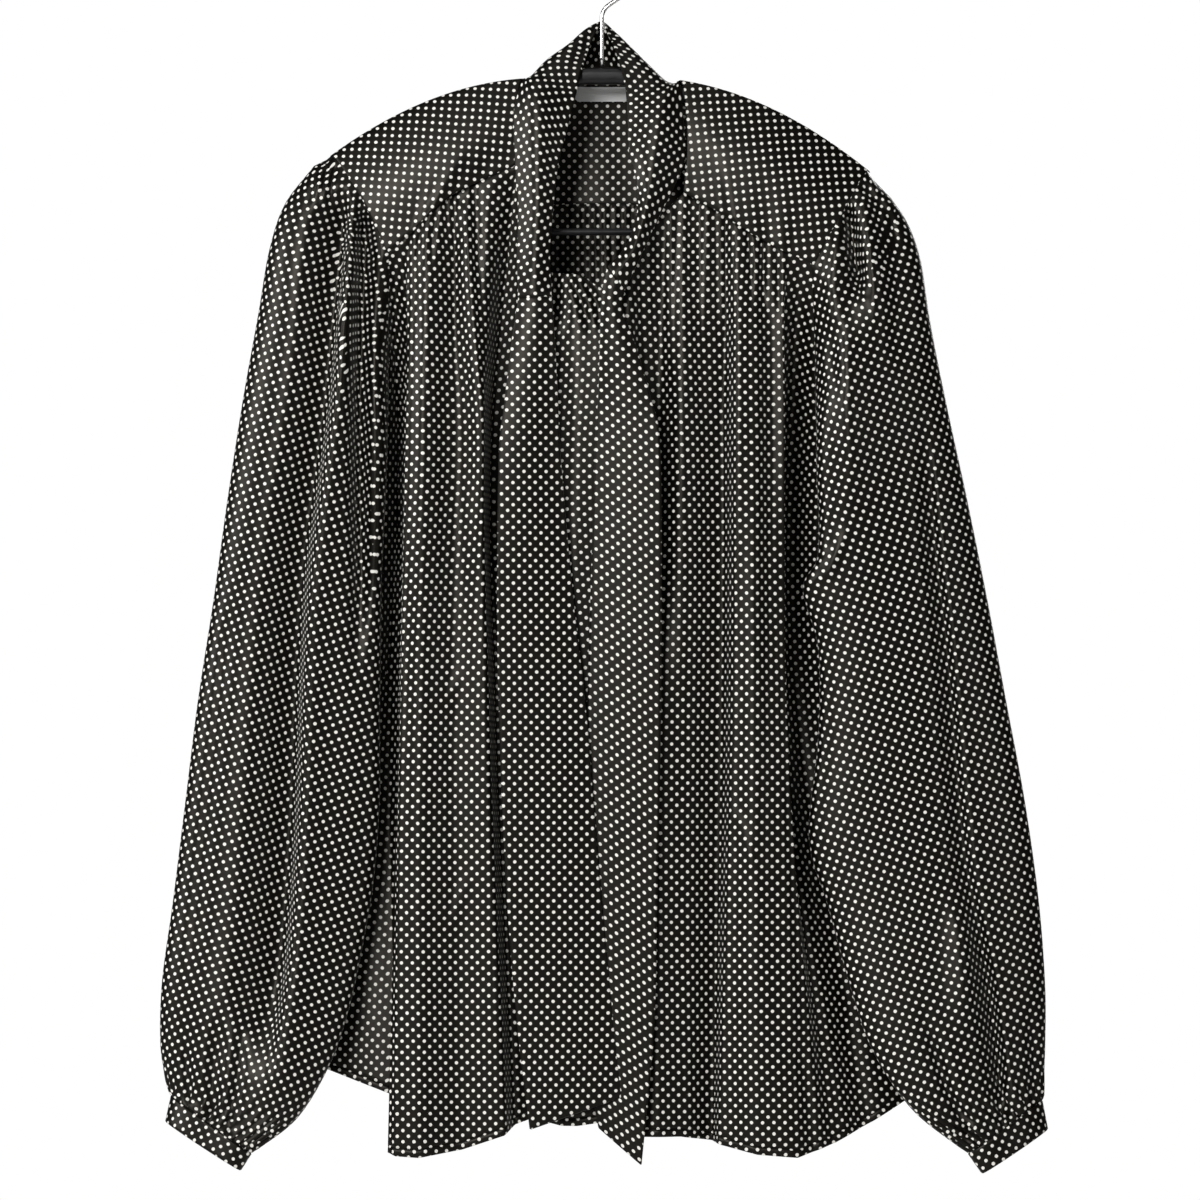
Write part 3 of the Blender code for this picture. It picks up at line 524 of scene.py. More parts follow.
frontRight = {
    "lines": (
        (7.8, 236, 30, 7.8, 36, 4.8, 38, -0.2, 768, 38),
        (17, 222, 28, 17, 36, 16, 38, 10, 776, 40),
        (27, 200, 24, 25, 20, 28, 35, 26, 777, 38),
        (40, 180, 17, 36, 18, 37, 35, 36, 777, 40),
        (53, 167, 16, 52, 30, 52, 34, 51, 777, 36),
        (76, 180, 17, 78, 19, 77, 23, 71, 780, 25),
        (88, 188, 21, 88, 35, 86, 38, 76, 782, 39),
        (97, 194, 21, 98, 34, 98, 41, 100, 788, 46),
        (108, 200, 20, 110, 25, 111, 35, 126, 790, 46),
        (117, 205, 21, 118, 26, 119, 32, 138, 786, 40),
        (122, 207, 20, 113, 7, 113, 4, 151, 781, 31),
        (129, 210, 20, 124, -8, 127, -10, 176, 768, 17),
        (137, 214, 20, 141, 4, 150, 0, 214, 745, 0),
    ),
    "yokeFirst": 4, "rows": 200, **gathered,
    "creases": (
        (1.8, 1.8, 1.5, -2.8, 0, 0.8, (58, 170), (57, 215), (57, 280)),
        (2.0, 2.0, 1.8, -3.0, 0, 0.7, (63, 173), (62, 235), (64, 340)),
        (1.8, 1.8, 1.5, 2.2, 0.1, 0.7, (45, 170), (44, 240), (45, 360)),
        (1.8, 1.8, 1.5, -2.6, 0, 0.7, (73, 179), (74, 220), (75, 280)),
        (2.0, 2.4, 1.4, -3.6, 0, 0.6, (80, 184), (81, 240), (82, 330)),
        (1.6, 1.6, 1.5, -2.6, 0, 0.8, (94, 192), (96, 215), (97, 250)),
        (1.8, 1.8, 1.5, -3.4, 0, 0.7, (104, 198), (104, 225), (105, 262)),
        (1.6, 1.6, 1.5, -2.4, 0, 0.8, (113, 204), (114, 225), (115, 255)),
        (3.0, 3.0, 1.5, 1.2, 0.3, 0.4, (84, 560), (96, 600), (110, 612)),
        (6.0, 4.0, 1.4, -3.0, 0.4, 0, (122, 700), (130, 740), (136, 790)),
        (5.0, 5.0, 1.2, -2.5, 0.4, 0, (152, 690), (160, 735), (170, 780)),
    ),
}
backPanel = {
    "lines": (
        (-147, 190, -25, -138, 2.4, -147, -1.6, -196, 729, -1.6),
        (-125, 186, -31, -128, -18, -137, -18, -172, 735, -22),
        (-100, 182, -33, -104, -36, -108, -36, -128, 742, -34),
        (-82, 179, -33, -84, -30, -86, -29, -104, 747, -28),
        (-62, 176, -34, -62, -40, -62, -42, -72, 752, -44),
        (-40, 173, -34, -40, -32, -38, -31, -44, 756, -30),
        (-20, 172, -35, -18, -42, -16, -43, -16, 758, -42),
        (0, 172, -34, 4, -34, 6, -34, 10, 758, -32),
        (20, 172, -35, 24, -42, 28, -43, 36, 757, -44),
        (42, 174, -34, 46, -33, 50, -32, 62, 755, -32),
        (64, 177, -34, 68, -40, 74, -41, 92, 752, -44),
        (86, 181, -33, 88, -31, 94, -30, 122, 748, -30),
        (108, 186, -33, 112, -36, 120, -33, 162, 742, -32),
        (130, 191, -31, 130, -18, 138, -16, 190, 744, -18),
        (147, 196, -25, 137, 2.4, 148, -1.6, 214, 745, -1.6),
    ),
    "rows": 180, **gathered,
    "gathers": {"pitch": 7.4, "height": 1.6, "length": 70.0},
}


def panelNet(panel, levels):
    # each table line runs through its four levels on a cubic
    c = columnsOf(panelColumns, panel["lines"])
    for level in ("chest", "waist"):
        c[level + "Down"] = np.full_like(c["topX"], panelLevels[level + "Down"])
    places = [placesOf(c, level) for level in ("top", "chest", "waist", "hem")]
    return throughStations(panelLevels["stations"], np.stack(places), levels)


def backNet(levels):
    # the back's side lines ease from their top on to the fronts' side lines, a seam's gap behind them
    lines = panelNet(backPanel, levels)
    for place, panel in ((0, frontLeft), (-1, frontRight)):
        side = panelNet(panel, np.linspace(0, 1, 200))[:, -1]
        own = lines[:, place]
        top = np.array(backPanel["lines"][place][:3], float)
        share = np.clip((own[:, 1] - top[1]) / (panelLevels["underarmDown"] - top[1]), 0, 1)
        share = (1 - np.cos(np.pi * share)) / 2
        own[:, 0] = top[0] + (np.interp(own[:, 1], side[:, 1], side[:, 0]) - top[0]) * share
        seamFore = np.interp(own[:, 1], side[:, 1], side[:, 2]) - panelLevels["sideSeamGap"]
        own[:, 2] = top[2] + (seamFore - top[2]) * share
    return lines


hem = {
    # rows above the edge and how far each stands out, for a panel of that length
    "length": 600.0, "start": 8.0,
    "rows": (5.6, 5.1, 4.7, 4.4, 4.0, 2.6, 1.2, 0.5, 0.0), "standsOut": (0.0, -0.3, -0.7, -0.2, 0.35, 0.4, 0.4, 0.3, 0.1),
}


def hemLevels(rows):
    # even rows, then close ones over the turned-up hem
    above = np.append(hem["start"], hem["rows"]) / hem["length"]
    return np.concatenate([np.linspace(0, 1 - above[0], rows), 1 - above[1:]])


def turnedHem(net, way):
    # a groove where the hem is sewn and a fold that stands out below it
    net[-len(hem["rows"]):, :, 2] += way * np.array(hem["standsOut"])[:, None]


def frontNet(panel):
    net = linesBetween(panelNet(panel, hemLevels(panel["rows"])), panel["steps"])
    net[..., 2] += creaseField(net[..., 0], net[..., 1], panel["creases"])
    net[..., 2] += softWaves(net[..., 0], net[..., 1], 0.5) * smoothShare((net[..., 1] - net[0, :, 1]) / 60)
    turnedHem(net, 1)
    return net


def gatheredBack():
    net = linesBetween(backNet(hemLevels(backPanel["rows"])), backPanel["steps"])
    g = backPanel["gathers"]
    below = net[..., 1] - net[0, :, 1]
    fade = np.exp(-below / g["length"]) * smoothShare(below / 4)
    edge = smoothShare((147 - np.abs(net[..., 0])) / 30)
    turn = net[0, :, 0] * 2 * np.pi / g["pitch"] + 1.7 * np.sin(net[0, :, 0] / 23)
    net[..., 2] += g["height"] * fade * edge * np.sin(turn)
    net[..., 2] += softWaves(net[..., 0], net[..., 1], 0.6) * smoothShare(below / 60) * edge
    turnedHem(net, -1)
    return net


makeCloth("front_left_cloth", frontNet(frontLeft)[:, ::-1], frontLeft)
makeCloth("front_right_cloth", frontNet(frontRight), frontRight)
makeCloth("back_cloth", gatheredBack()[:, ::-1], backPanel)


# Yoke.

yoke = {
    "columns": ("neckX", "neckDown", "neckFore", "armX", "armDown", "armFore", "bulgeUp", "bulgeFore"),
    "left": (
        (-56, 124, 14, -155, 172, 18, 4, 3),
        (-53, 95.5, 6.5, -172, 145, 7, 9.6, 1),
        (-50, 93, 0, -176.5, 142.8, 0, 10.2, 0),
        (-50, 95, -6.5, -172, 144, -7, 9.6, -1),
        (-44, 98, -19, -156, 168, -20, 6, -3),
    ),
    "right": (
        (55, 128, 14, 156, 179, 18, 4, 3),
        (53, 97, 6.5, 170, 154.5, 7, 9.4, 1),
        (49, 94, 0, 174, 153, 0, 10, 0),
        (49, 96, -6.5, 170, 154, -7, 9.4, -1),
        (43, 98, -19, 158, 176, -20, 6, -3),
    ),
    "seamGap": 0.3, "proud": 0.8,
    "backNeckHalfWidth": 31.0, "backNeckDown": 92.6, "backNeckFore": -32.0, "backNeckSideFore": -27.0,
    "steps": 12, "turnLeft": -5, "turnBack": 45, "turnRight": 6, "restsOn": ["hanger_arms_rod"],
}


def yokeRows(steps):
    # rows from the neck to the outer edge, in order: left front seam, over the shoulder, round the back, right
    lift, liftBack = np.array([0, -yoke["seamGap"], yoke["proud"]]), np.array([0, -yoke["seamGap"], -yoke["proud"]])
    fine = frontLeft["steps"]
    left = linesBetween(panelNet(frontLeft, np.zeros(1)), fine)[0][frontLeft["yokeFirst"] * fine:]
    right = linesBetween(panelNet(frontRight, np.zeros(1)), fine)[0][frontRight["yokeFirst"] * fine:]
    back = linesBetween(backNet(np.zeros(1)), 4)[0]
    share = np.linspace(0, 1, len(left))[:, None]
    swell = 4 * share * (1 - share)

    def row(neck, outer, up, fore):
        return neck + (outer - neck) * share + swell * np.array([0, -up, fore])

    def shoulder(rows):
        c = columnsOf(yoke["columns"], rows)
        return [row(n, o, u, f) for n, o, u, f in zip(placesOf(c, "neck"), placesOf(c, "arm"), c["bulgeUp"], c["bulgeFore"])]

    turn = np.linspace(-1, 1, len(back))
    neckFore = yoke["backNeckFore"] + (yoke["backNeckSideFore"] - yoke["backNeckFore"]) * turn**2
    neck = np.stack([yoke["backNeckHalfWidth"] * turn, yoke["backNeckDown"] + 3 * turn**2, neckFore], 1)
    behind = [row(n, o + liftBack, 0, -2) for n, o in zip(neck, back)]
    overLeft = smoothRows([left + lift] + shoulder(yoke["left"]) + behind[:1], steps)
    overRight = smoothRows(behind[-1:] + shoulder(yoke["right"])[::-1] + [right + lift], steps)
    return overLeft, np.array(behind[1:-1]), overRight


def yokeCharts(left, back, right, ridge):
    # across is x; down is the arc length over the shoulder, counted from the rows at the seams and the back
    def lengths(rows):
        return arcLengths(rows[..., 1:], 0)

    frontL, backL = left[:ridge + 1], left[ridge:]
    frontR, backR = right[-ridge - 1:], right[:-ridge]
    downFL = frontL[0, :, 1] - lengths(frontL)
    downFR = frontR[-1, :, 1] - lengths(frontR[::-1])[::-1]
    downBL = backL[-1, :, 1] - lengths(backL[::-1])[::-1]
    downBR = backR[0, :, 1] - lengths(backR)
    behind = np.concatenate([backL, back, backR])
    downB = np.concatenate([downBL, back[..., 1], downBR])
    return [(0, turnedMap(frontL[..., 0] * mm, downFL * mm, yoke["turnLeft"])),
            (ridge, turnedMap(behind[..., 0] * mm, downB * mm, yoke["turnBack"])),
            (ridge + len(behind) - 1, turnedMap(frontR[..., 0] * mm, downFR * mm, yoke["turnRight"]))]


overLeft, overBack, overRight = yokeRows(yoke["steps"])
makeCloth("yoke_cloth", np.concatenate([overLeft, overBack, overRight]), yoke,
          yokeCharts(overLeft, overBack, overRight, 3 * yoke["steps"]))


# Sleeves and cuffs.

ringColumns = ("outerX", "outerDown", "outerFore", "innerX", "innerDown", "innerFore", "halfDepth")
sleeveLook = {"count": 180, "steps": 14, "armholeTuck": 1.4, "tuckDepth": 0.5, "roundness": 0.8,
              "cuffGathers": 30, "gatherHeight": 1.8}
farFolds = (
    # place across the far side at the top, the elbow and the cuff, width, height
    (0.30, 0.26, 0.40, 0.10, -5),
    (0.55, 0.60, 0.62, 0.12, 5),
    (0.82, 0.80, 0.78, 0.08, -4),
)
tube = {"closed": True, "middleColumn": 90}

sleeveLeft = {
    "rings": (
        (-187, 149, 0, -138.5, 296, 9, 25),
        (-206, 174, 0, -139, 322, 17, 25),
        (-216, 204, 2, -139.5, 348, 19, 25),
        (-223, 245, 3, -141, 380, 20, 24),
        (-233, 301, 4, -143, 424, 20, 23),
        (-243, 366, 5, -143.5, 470, 20, 22),
        (-252, 431, 6, -144, 515, 20, 20),
        (-262, 496, 7, -144, 560, 20, 20),
        (-270, 561, 9, -148, 613, 21, 20),
        (-278, 626, 11, -156, 660, 24, 20),
        (-285, 678, 13, -165, 700, 28, 20),
        (-286, 717, 15, -177, 733, 32, 19),
        (-283, 738, 17, -197, 765, 36, 17),
        (-279, 751, 20, -226, 787, 40, 12),
    ),
    "creases": (
        (17, 3.6, 1.3, -20, 0.05, 0.12, (-166, 160), (-166.5, 171), (-168.5, 203), (-174, 255), (-178, 301), (-184, 346),
         (-191, 392), (-195, 431), (-198, 496), (-200, 561), (-203.5, 626), (-207, 665), (-213, 704), (-218, 743)),
        (3.0, 9, 1.6, 3.5, 0.03, 0.05, (-162.5, 158), (-163.8, 203), (-168, 255), (-172, 301), (-179, 346), (-183, 398),
         (-187, 431), (-191, 496), (-193, 561), (-197, 626), (-203, 691), (-210, 743), (-217, 765)),
        (5, 7, 1.0, -20, 0.05, 0.4, (-153.5, 171), (-156, 236), (-157, 301), (-157, 366), (-156, 418), (-160, 500)),
        (3, 5, 1.4, -2.4, 0.2, 0.2, (-240, 420), (-250, 520), (-259, 600), (-268, 690)),
        (1.6, 1.6, 1.3, -3.0, 0.1, 0.5, (-177, 144), (-180, 158), (-184, 178)),
        (1.6, 1.6, 1.3, -3.0, 0.1, 0.5, (-172.5, 147), (-175.5, 161), (-178, 184)),
        (1.6, 1.6, 1.3, -2.6, 0.1, 0.5, (-182, 147), (-187, 160), (-192, 182)),
        (4, 4, 1.3, -5, 0.5, 0, (-246, 690), (-250, 730), (-252, 765)),
        (3.5, 3.5, 1.2, -4.5, 0.5, 0, (-268, 700), (-268, 730), (-266, 752)),
        (3, 3, 1.2, -4.0, 0.5, 0, (-232, 700), (-235, 740), (-240, 772)),
    ),
    "latticeTurn": 20, "hang": -8.3, **tube,
}
sleeveRight = {
    "rings": (
        (188, 170, 0, 138.5, 300, 9, 25),
        (199, 187, 0, 139, 322, 17, 25),
        (207, 211, 2, 139, 348, 19, 25),
        (213, 250, 3, 140.5, 380, 20, 24),
        (223, 301, 4, 139, 405, 22, 20),
        (237, 366, 5, 130, 424, 22, 20),
        (250, 431, 6, 140, 463, 22, 20),
        (262, 496, 7, 140, 520, 22, 20),
        (274, 561, 9, 134, 585, 23, 20),
        (283, 626, 11, 146, 628, 25, 20),
        (287, 680, 13, 161, 682, 29, 20),
        (287, 717, 15, 175, 722, 33, 19),
        (286, 740, 17, 200, 759, 37, 17),
        (285, 754, 20, 236, 787, 40, 12),
    ),
    "creases": (
        (4, 7, 1.8, 5, 0.05, 0.4, (140, 184), (150, 203), (148, 236), (156, 290), (160, 340), (158, 400)),
        (4.5, 2.6, 1.2, -15, 0.1, 0.35, (159, 172), (162, 190), (165.5, 216), (168, 240)),
        (2.6, 9, 1.3, 4, 0.1, 0.5, (168, 166), (171, 190), (175, 220), (178, 260)),
        (7, 9, 1.3, -5, 0.2, 0.3, (182, 176), (188, 205), (193, 240), (190, 290)),
        (3.0, 3.0, 1.3, -4, 0.1, 0.5, (170, 160), (178, 176), (182, 200)),
        (2.4, 2.4, 1.3, -3, 0.1, 0.5, (178, 168), (187, 184), (192, 206)),
        (4, 4, 1.3, -3.5, 0.3, 0.5, (151, 246), (150, 275), (155, 310)),
        (7, 2.6, 1.3, -9, 0.2, 0.05, (208, 300), (212, 350), (216, 400), (222, 450), (227, 505), (231, 560), (235, 600),
         (243, 640), (250, 680), (256, 730), (259, 762)),
        (3.5, 3.5, 1.2, -6, 0.3, 0, (243, 640), (250, 680), (256, 730), (259, 765)),
        (9, 5, 1.2, 5, 0.4, 0.4, (232, 600), (234, 650), (236, 690), (240, 730)),
        (3.5, 3.5, 1.2, -6, 0.4, 0, (205, 690), (213, 715), (222, 745), (236, 775)),
        (3, 3, 1.2, -4.5, 0.4, 0, (277, 690), (279, 725), (279, 755)),
        (3, 3, 1.5, 2.4, 0.3, 0.5, (130, 424), (146, 412), (160, 380)),
    ),
    "latticeTurn": -23, "hang": 9.7, **tube,
}
cuffLeft = {"rings": ((-278.6, 752, 20, -226.6, 788, 40, 13), (-282, 768, 22, -233, 798, 41, 12)), "thickness": 1.2,
            "latticeTurn": 8, "hang": -34, **tube, "restsOn": ["sleeve_left_cloth"]}
cuffRight = {"rings": ((284.6, 755, 20, 236.6, 788, 40, 13), (288, 773, 22, 245, 800, 41, 12)), "thickness": 1.2,
             "latticeTurn": -8, "hang": 34, **tube, "restsOn": ["sleeve_right_cloth"]}


def flatRings(rows):
    # a chord from the outer to the inner point, (1 - cos a) / 2 along it, and the half depth times |sin a|^0.8 fore and aft
    around = np.arange(sleeveLook["count"]) * 2 * np.pi / sleeveLook["count"]
    c = columnsOf(ringColumns, rows)
    outer, inner = placesOf(c, "outer")[:, None], placesOf(c, "inner")[:, None]
    share = ((1 - np.cos(around)) / 2)[:, None]
    swell = np.sign(np.sin(around))[:, None] * np.abs(np.sin(around))[:, None] ** sleeveLook["roundness"]
    return outer + (inner - outer) * share + c["halfDepth"][:, None, None] * swell * np.array([0, 0, 1])


def armholeLoop(panel, backLine, over):
    # from the shoulder's top down the front, under the arm and up the back; over is the yoke's edge, front to back
    levels = np.linspace(0, 0.25, 40)
    top = np.argmin(over[:, 1])
    front = panelNet(panel, levels)[1:, -1]
    behind = backNet(levels)[1:, backLine]
    front = front[front[:, 1] < panelLevels["underarmDown"] - 2]
    behind = behind[behind[:, 1] < panelLevels["underarmDown"] - 8]
    under = (front[-1] + behind[-1]) / 2
    under[1] = panelLevels["underarmDown"]
    return np.concatenate([over[:top + 1][::-1], front, [under], behind[::-1], over[top:][::-1]])


def evenLoop(loop, count):
    # the loop read by arc length with cosine spacing on each side, as a ring's points are
    lengths = arcLengths(loop, 0)
    bottom = lengths[np.argmax(loop[:, 1])]
    share = (1 - np.cos(np.linspace(0, np.pi, count // 2 + 1)[:-1])) / 2
    places = np.concatenate([bottom * share, bottom + (lengths[-1] - bottom) * share])
    return np.stack([np.interp(places, lengths, loop[:, i]) for i in range(3)], 1)


def sleeveNet(sleeve, loop, side):
    count, steps = sleeveLook["count"], sleeveLook["steps"]
    around = np.arange(count) * 2 * np.pi / count
    rings = flatRings(smoothRows(sleeve["rings"], steps))
    first = evenLoop(loop, count) - np.array([side * sleeveLook["armholeTuck"], 0, 0])  # its edge lies under the body's
    centre = first.mean(0)
    first += unit((centre - first) * (0, 1, 1)) * sleeveLook["tuckDepth"]
    step = np.arange(1, steps) / steps
    rings = np.concatenate([[first], first + (rings[0] - first) * step[:, None, None], rings])
    length = np.linspace(0, 1, len(rings))
    share = (1 - np.cos(around)) / 2
    facing = np.sin(around) >= 0
    strength = np.interp(length, (0, 0.12, 0.3, 0.85, 1), (0, 0.5, 1, 1, 0.25))
    for top, elbow, cuff, width, height in farFolds:
        place = np.interp(length, (0, 0.5, 1), (top, elbow, cuff))
        bump = np.exp(-((share - place[:, None]) / width) ** 2)
        rings[..., 2] -= height * strength[:, None] * bump * ~facing * np.abs(np.sin(around)) ** 0.5
    depth = rings[..., 2] - rings[:, -np.arange(count), 2]
    field = np.maximum(creaseField(rings[..., 0], rings[..., 1], sleeve["creases"]), 1 - 0.8 * depth) * facing
    field += softWaves(rings[..., 0], rings[..., 1], 0.5) * smoothShare(length / 0.1)[:, None]
    rings[..., 2] += field * np.abs(np.sin(around)) ** 0.6 * smoothShare(length / 0.02)[:, None]
    out = unit(rings - rings.mean(1, keepdims=True))
    pucker = np.cos(sleeveLook["cuffGathers"] * around + 1.1 * np.sin(3 * around) + 0.7 * np.sin(7 * around + 1))
    nearCuff = np.interp(length, (0, 0.9, 0.965, 0.99, 1), (0, 0, 0.8, 1, 0.4))
    height = sleeveLook["gatherHeight"] * (pucker - 0.3) * (1 + 0.4 * np.sin(5 * around + 2))
    rings += out * (nearCuff[:, None] * height)[..., None]
    return rings


def cuffNet(cuff):
    seam, edge = np.array(cuff["rings"], float)
    return flatRings(seam + (edge - seam) * np.linspace(0, 1, 12)[:, None])


def seamFirst(net, side):
    # a ring's grid starts at its inner point, where the sleeve's seam is, and faces outwards on both sides
    half = sleeveLook["count"] // 2
    return np.roll(net, half, 1) if side < 0 else np.roll(net[:, ::-1], half + 1, 1)


loopLeft = armholeLoop(frontLeft, 0, overLeft[:, -1])
loopRight = armholeLoop(frontRight, -1, overRight[::-1, -1])
makeCloth("sleeve_left_cloth", seamFirst(sleeveNet(sleeveLeft, loopLeft, -1), -1), sleeveLeft)
makeCloth("sleeve_right_cloth", seamFirst(sleeveNet(sleeveRight, loopRight, 1), 1), sleeveRight)
makeCloth("cuff_left_cloth", seamFirst(cuffNet(cuffLeft), -1), cuffLeft)
makeCloth("cuff_right_cloth", seamFirst(cuffNet(cuffRight), 1), cuffRight)


# Collar band and ties.

band = {
    "columns": ("foldX", "foldDown", "foldFore", "crestX", "crestDown", "crestFore", "sewnX", "sewnDown", "sewnFore"),
    "rows": (
        (-33, 235.4, 40, -43, 235.4, 44, -53.5, 235.4, 41),
        (-34, 206, 33, -43, 207, 38, -54.5, 208, 32),
        (-32, 178, 28, -42, 178, 33, -54, 179, 25),
        (-29, 151, 24, -42, 148, 29, -56, 148, 20),
        (-23, 125, 19, -42, 116, 24, -57, 116, 14),
        (-18.5, 108, 15.5, -43, 98, 18, -51.5, 94.5, 8),
        (-16.5, 99, 12, -40, 89, 9, -49.5, 94.5, -5),
        (-14, 88, 7, -35, 80, 1, -43.5, 99.5, -21),
        (-10, 75, -3, -22, 70, -7, -30, 97.5, -29.5),
        (-5, 62, -12, -11, 61, -16, -14, 94.5, -33.2),
        (0, 53.5, -20, 0, 58, -25, 0, 94, -33.6),
        (4, 62, -10, 10, 64, -15, 14, 94.5, -33.2),
        (9, 73, -1, 23, 76, -6, 30, 97.5, -29.5),
        (13, 87, 8, 34, 88, 3, 43.5, 99.5, -20.5),
        (15.5, 98, 13, 38, 96, 10, 48.5, 95.5, -4.5),
        (16.5, 108, 16, 39, 105, 19, 50.5, 98, 8),
        (17, 120, 19, 38, 120, 25, 52.5, 122, 15),
        (18, 140, 23, 35, 143, 30, 53, 146, 20),
        (22.5, 160, 27, 32, 162, 33, 45.5, 165, 24),
        (23.4, 178, 32, 28, 182, 37, 34.5, 187, 30),
        (16, 202, 37, 20.5, 205, 41, 25, 208, 37),
        (4, 216, 41, 9, 223, 44, 14.3, 231, 41),
    ),
    "steps": 8, "points": 37, "thickness": 1.3, "turns": (35, 7, 100.0), "held": "folded",
}
tieColumns = ("leftX", "leftDown", "rightX", "rightDown", "edgeFore", "middleFore")
tieLeft = {
    "rows": (
        (-53.5, 236, -33, 236, 41, 44),
        (-57.5, 262, -31, 262, 43, 46),
        (-62, 301, -29, 301, 45, 47.5),
        (-66, 340, -27, 340, 46, 48.5),
        (-67, 431, -19, 431, 47.5, 48.5),
        (-66, 500, -11, 500, 48, 49),
        (-62, 600, -3, 600, 48, 49),
        (-55, 695, 6, 695, 48, 49),
        (-46, 771, 12, 751, 49, 50),
    ),
    "steps": 16, "points": 41, "thickness": 1.3, "tilt": 3.0, "latticeTurn": 45,
    "restsOn": ["collar_band_cloth", "front_left_cloth"],
}
tieRight = {
    "rows": (
        (3.6, 216.4, 14.3, 231.4, 41, 44),
        (0, 236, 12.8, 243, 41.5, 44),
        (-1, 270, 21.5, 268, 42, 44),
        (-2, 301, 31, 301, 42, 43.5),
        (-4, 333, 37, 333, 42.5, 43.5),
        (-7, 431, 38, 431, 43, 44),
        (-10, 535, 37, 535, 43.5, 44.5),
        (-12, 620, 35, 620, 44, 44.5),
        (-12, 708, 33, 708, 44, 45),
        (-2, 771, 25, 794, 45, 46),
    ),
    "steps": 16, "points": 41, "thickness": 1.3, "tilt": -3.0, "latticeTurn": 45, "skew": (0.0, 0.45),
    "restsOn": ["collar_band_cloth", "front_right_cloth"],
}


def bandNet():
    # each section is a cubic through its folded edge, its crest and its sewn edge
    c = columnsOf(band["columns"], smoothRows(band["rows"], band["steps"]))
    edges = np.stack([placesOf(c, name) for name in ("fold", "crest", "sewn")])
    across = throughStations((0, 1, 2), edges, np.linspace(0, 2, band["points"]))
    return across.transpose(1, 0, 2)


def tieNet(tie):
    # straight across, 4 t (1 - t) times the crown in fore, tilted towards its darker side below the band
    c = columnsOf(tieColumns, smoothRows(tie["rows"], tie["steps"]))
    share = np.linspace(0, 1, tie["points"])
    x = c["leftX"][:, None] + (c["rightX"] - c["leftX"])[:, None] * share
    down = c["leftDown"][:, None] + (c["rightDown"] - c["leftDown"])[:, None] * share
    crown = (c["middleFore"] - c["edgeFore"])[:, None] * 4 * share * (1 - share)
    below = smoothShare((down - down[0]) / 120)
    return np.stack([x, down, c["edgeFore"][:, None] + crown + tie["tilt"] * (1 - 2 * share) * below], 2)


def bandChart(net):
    # along is the arc length of the middle line from the centre back, across that of each section;
    # the turn eases round the neck
    centre, middle = len(net) // 2, net.shape[1] // 2
    along = arcLengths(net[:, middle], 0)
    along = (along - along[centre])[:, None] * np.ones(net.shape[1])
    across = arcLengths(net, 1)
    across -= across[:, middle:middle + 1]
    turn, ease, reach = band["turns"]
    # on the viewer's left strip along runs up the strip and across runs to the left
    return turnedMap(-across * mm, -along * mm, turn + ease * np.clip(along / reach, -1, 1))


bandCloth = bandNet()
makeCloth("collar_band_cloth", bandCloth, band, [(0, bandChart(bandCloth))])
makeCloth("tie_left_cloth", tieNet(tieLeft), tieLeft)
makeCloth("tie_right_cloth", tieNet(tieRight), tieRight)


# Hanger.

hanger = {
    "shoulderLeft": ((-50, 93), (-80, 98.3), (-110, 107), (-140, 119.6), (-167, 134), (-184, 147),
                     (-197, 161), (-206, 176), (-212, 190)),
    "shoulderRight": ((49, 94), (80, 102.3), (110, 113.8), (140, 128.5), (169, 147), (181, 162.5),
                      (190.5, 176), (198.5, 190.5), (203, 203)),
    "beamDown": 90.6, "beamHalfWidth": 16.0, "beamDrop": 0.8, "halfHeight": 5.5, "tipHalfHeight": 4.0, "halfDepth": 4.2,
    "squareness": 0.7, "clearance": 1.5, "barDown": 191.7, "barRadius": 2.3, "barEnds": (-201.2, 186.6), "wireRadius": 1.4,
    "stemBottomDown": 84.4, "stemTopDown": 52.6, "bendRadius": 10.0, "bendTurn": 55.0, "hookRadius": 22.0, "tipTurn": 200.0,
}


def ovalSection(halfHeight, halfDepth, count, power):
    # cos and sin raised to a power below 1 give a squarer oval
    turn = (np.arange(count) + 0.5) * 2 * np.pi / count
    up = np.sign(np.cos(turn)) * np.abs(np.cos(turn)) ** power * halfHeight
    out = np.sign(np.sin(turn)) * np.abs(np.sin(turn)) ** power * halfDepth
    return np.stack([up, out], 1)


def armPath(steps):
    # offset of the shoulders' edges by half the arm and the clearance, level under the hook
    sides = []
    for table in (hanger["shoulderLeft"], hanger["shoulderRight"]):
        edge = np.array(table, float) * (1, -1)
        ahead = unit(np.gradient(edge, axis=0))
        into = np.stack([ahead[:, 1], -ahead[:, 0]], 1)
        into *= np.where(into[:, 1:] > 0, -1, 1)
        half = np.linspace(hanger["halfHeight"], hanger["tipHalfHeight"], len(edge))[:, None]
        sides.append(edge + into * (half + hanger["clearance"]))
    ends = -hanger["beamDown"] - hanger["beamDrop"]
    middle = np.array([(-hanger["beamHalfWidth"], ends), (0, -hanger["beamDown"]), (hanger["beamHalfWidth"], ends)])
    return smoothRows(np.concatenate([sides[0][::-1], middle, sides[1]]), steps)


def hookPath():
    # stem, a bend of 55 degrees and the hook's round
    turn = np.radians(hanger["bendTurn"])
    bend = np.linspace(0, turn, 16)
    stem = np.stack([np.zeros(6), np.linspace(-hanger["stemBottomDown"], -hanger["stemTopDown"] - 1, 6)], 1)
    lower = hanger["bendRadius"] * np.stack([1 - np.cos(bend), np.sin(bend)], 1) - (0, hanger["stemTopDown"])
    sweep = np.linspace(-turn, np.radians(hanger["tipTurn"]), 90)
    centre = hanger["wireRadius"] - hanger["hookRadius"]
    upper = np.stack([hanger["hookRadius"] * np.cos(sweep), centre + hanger["hookRadius"] * np.sin(sweep)], 1)
    return np.concatenate([stem, lower, upper])


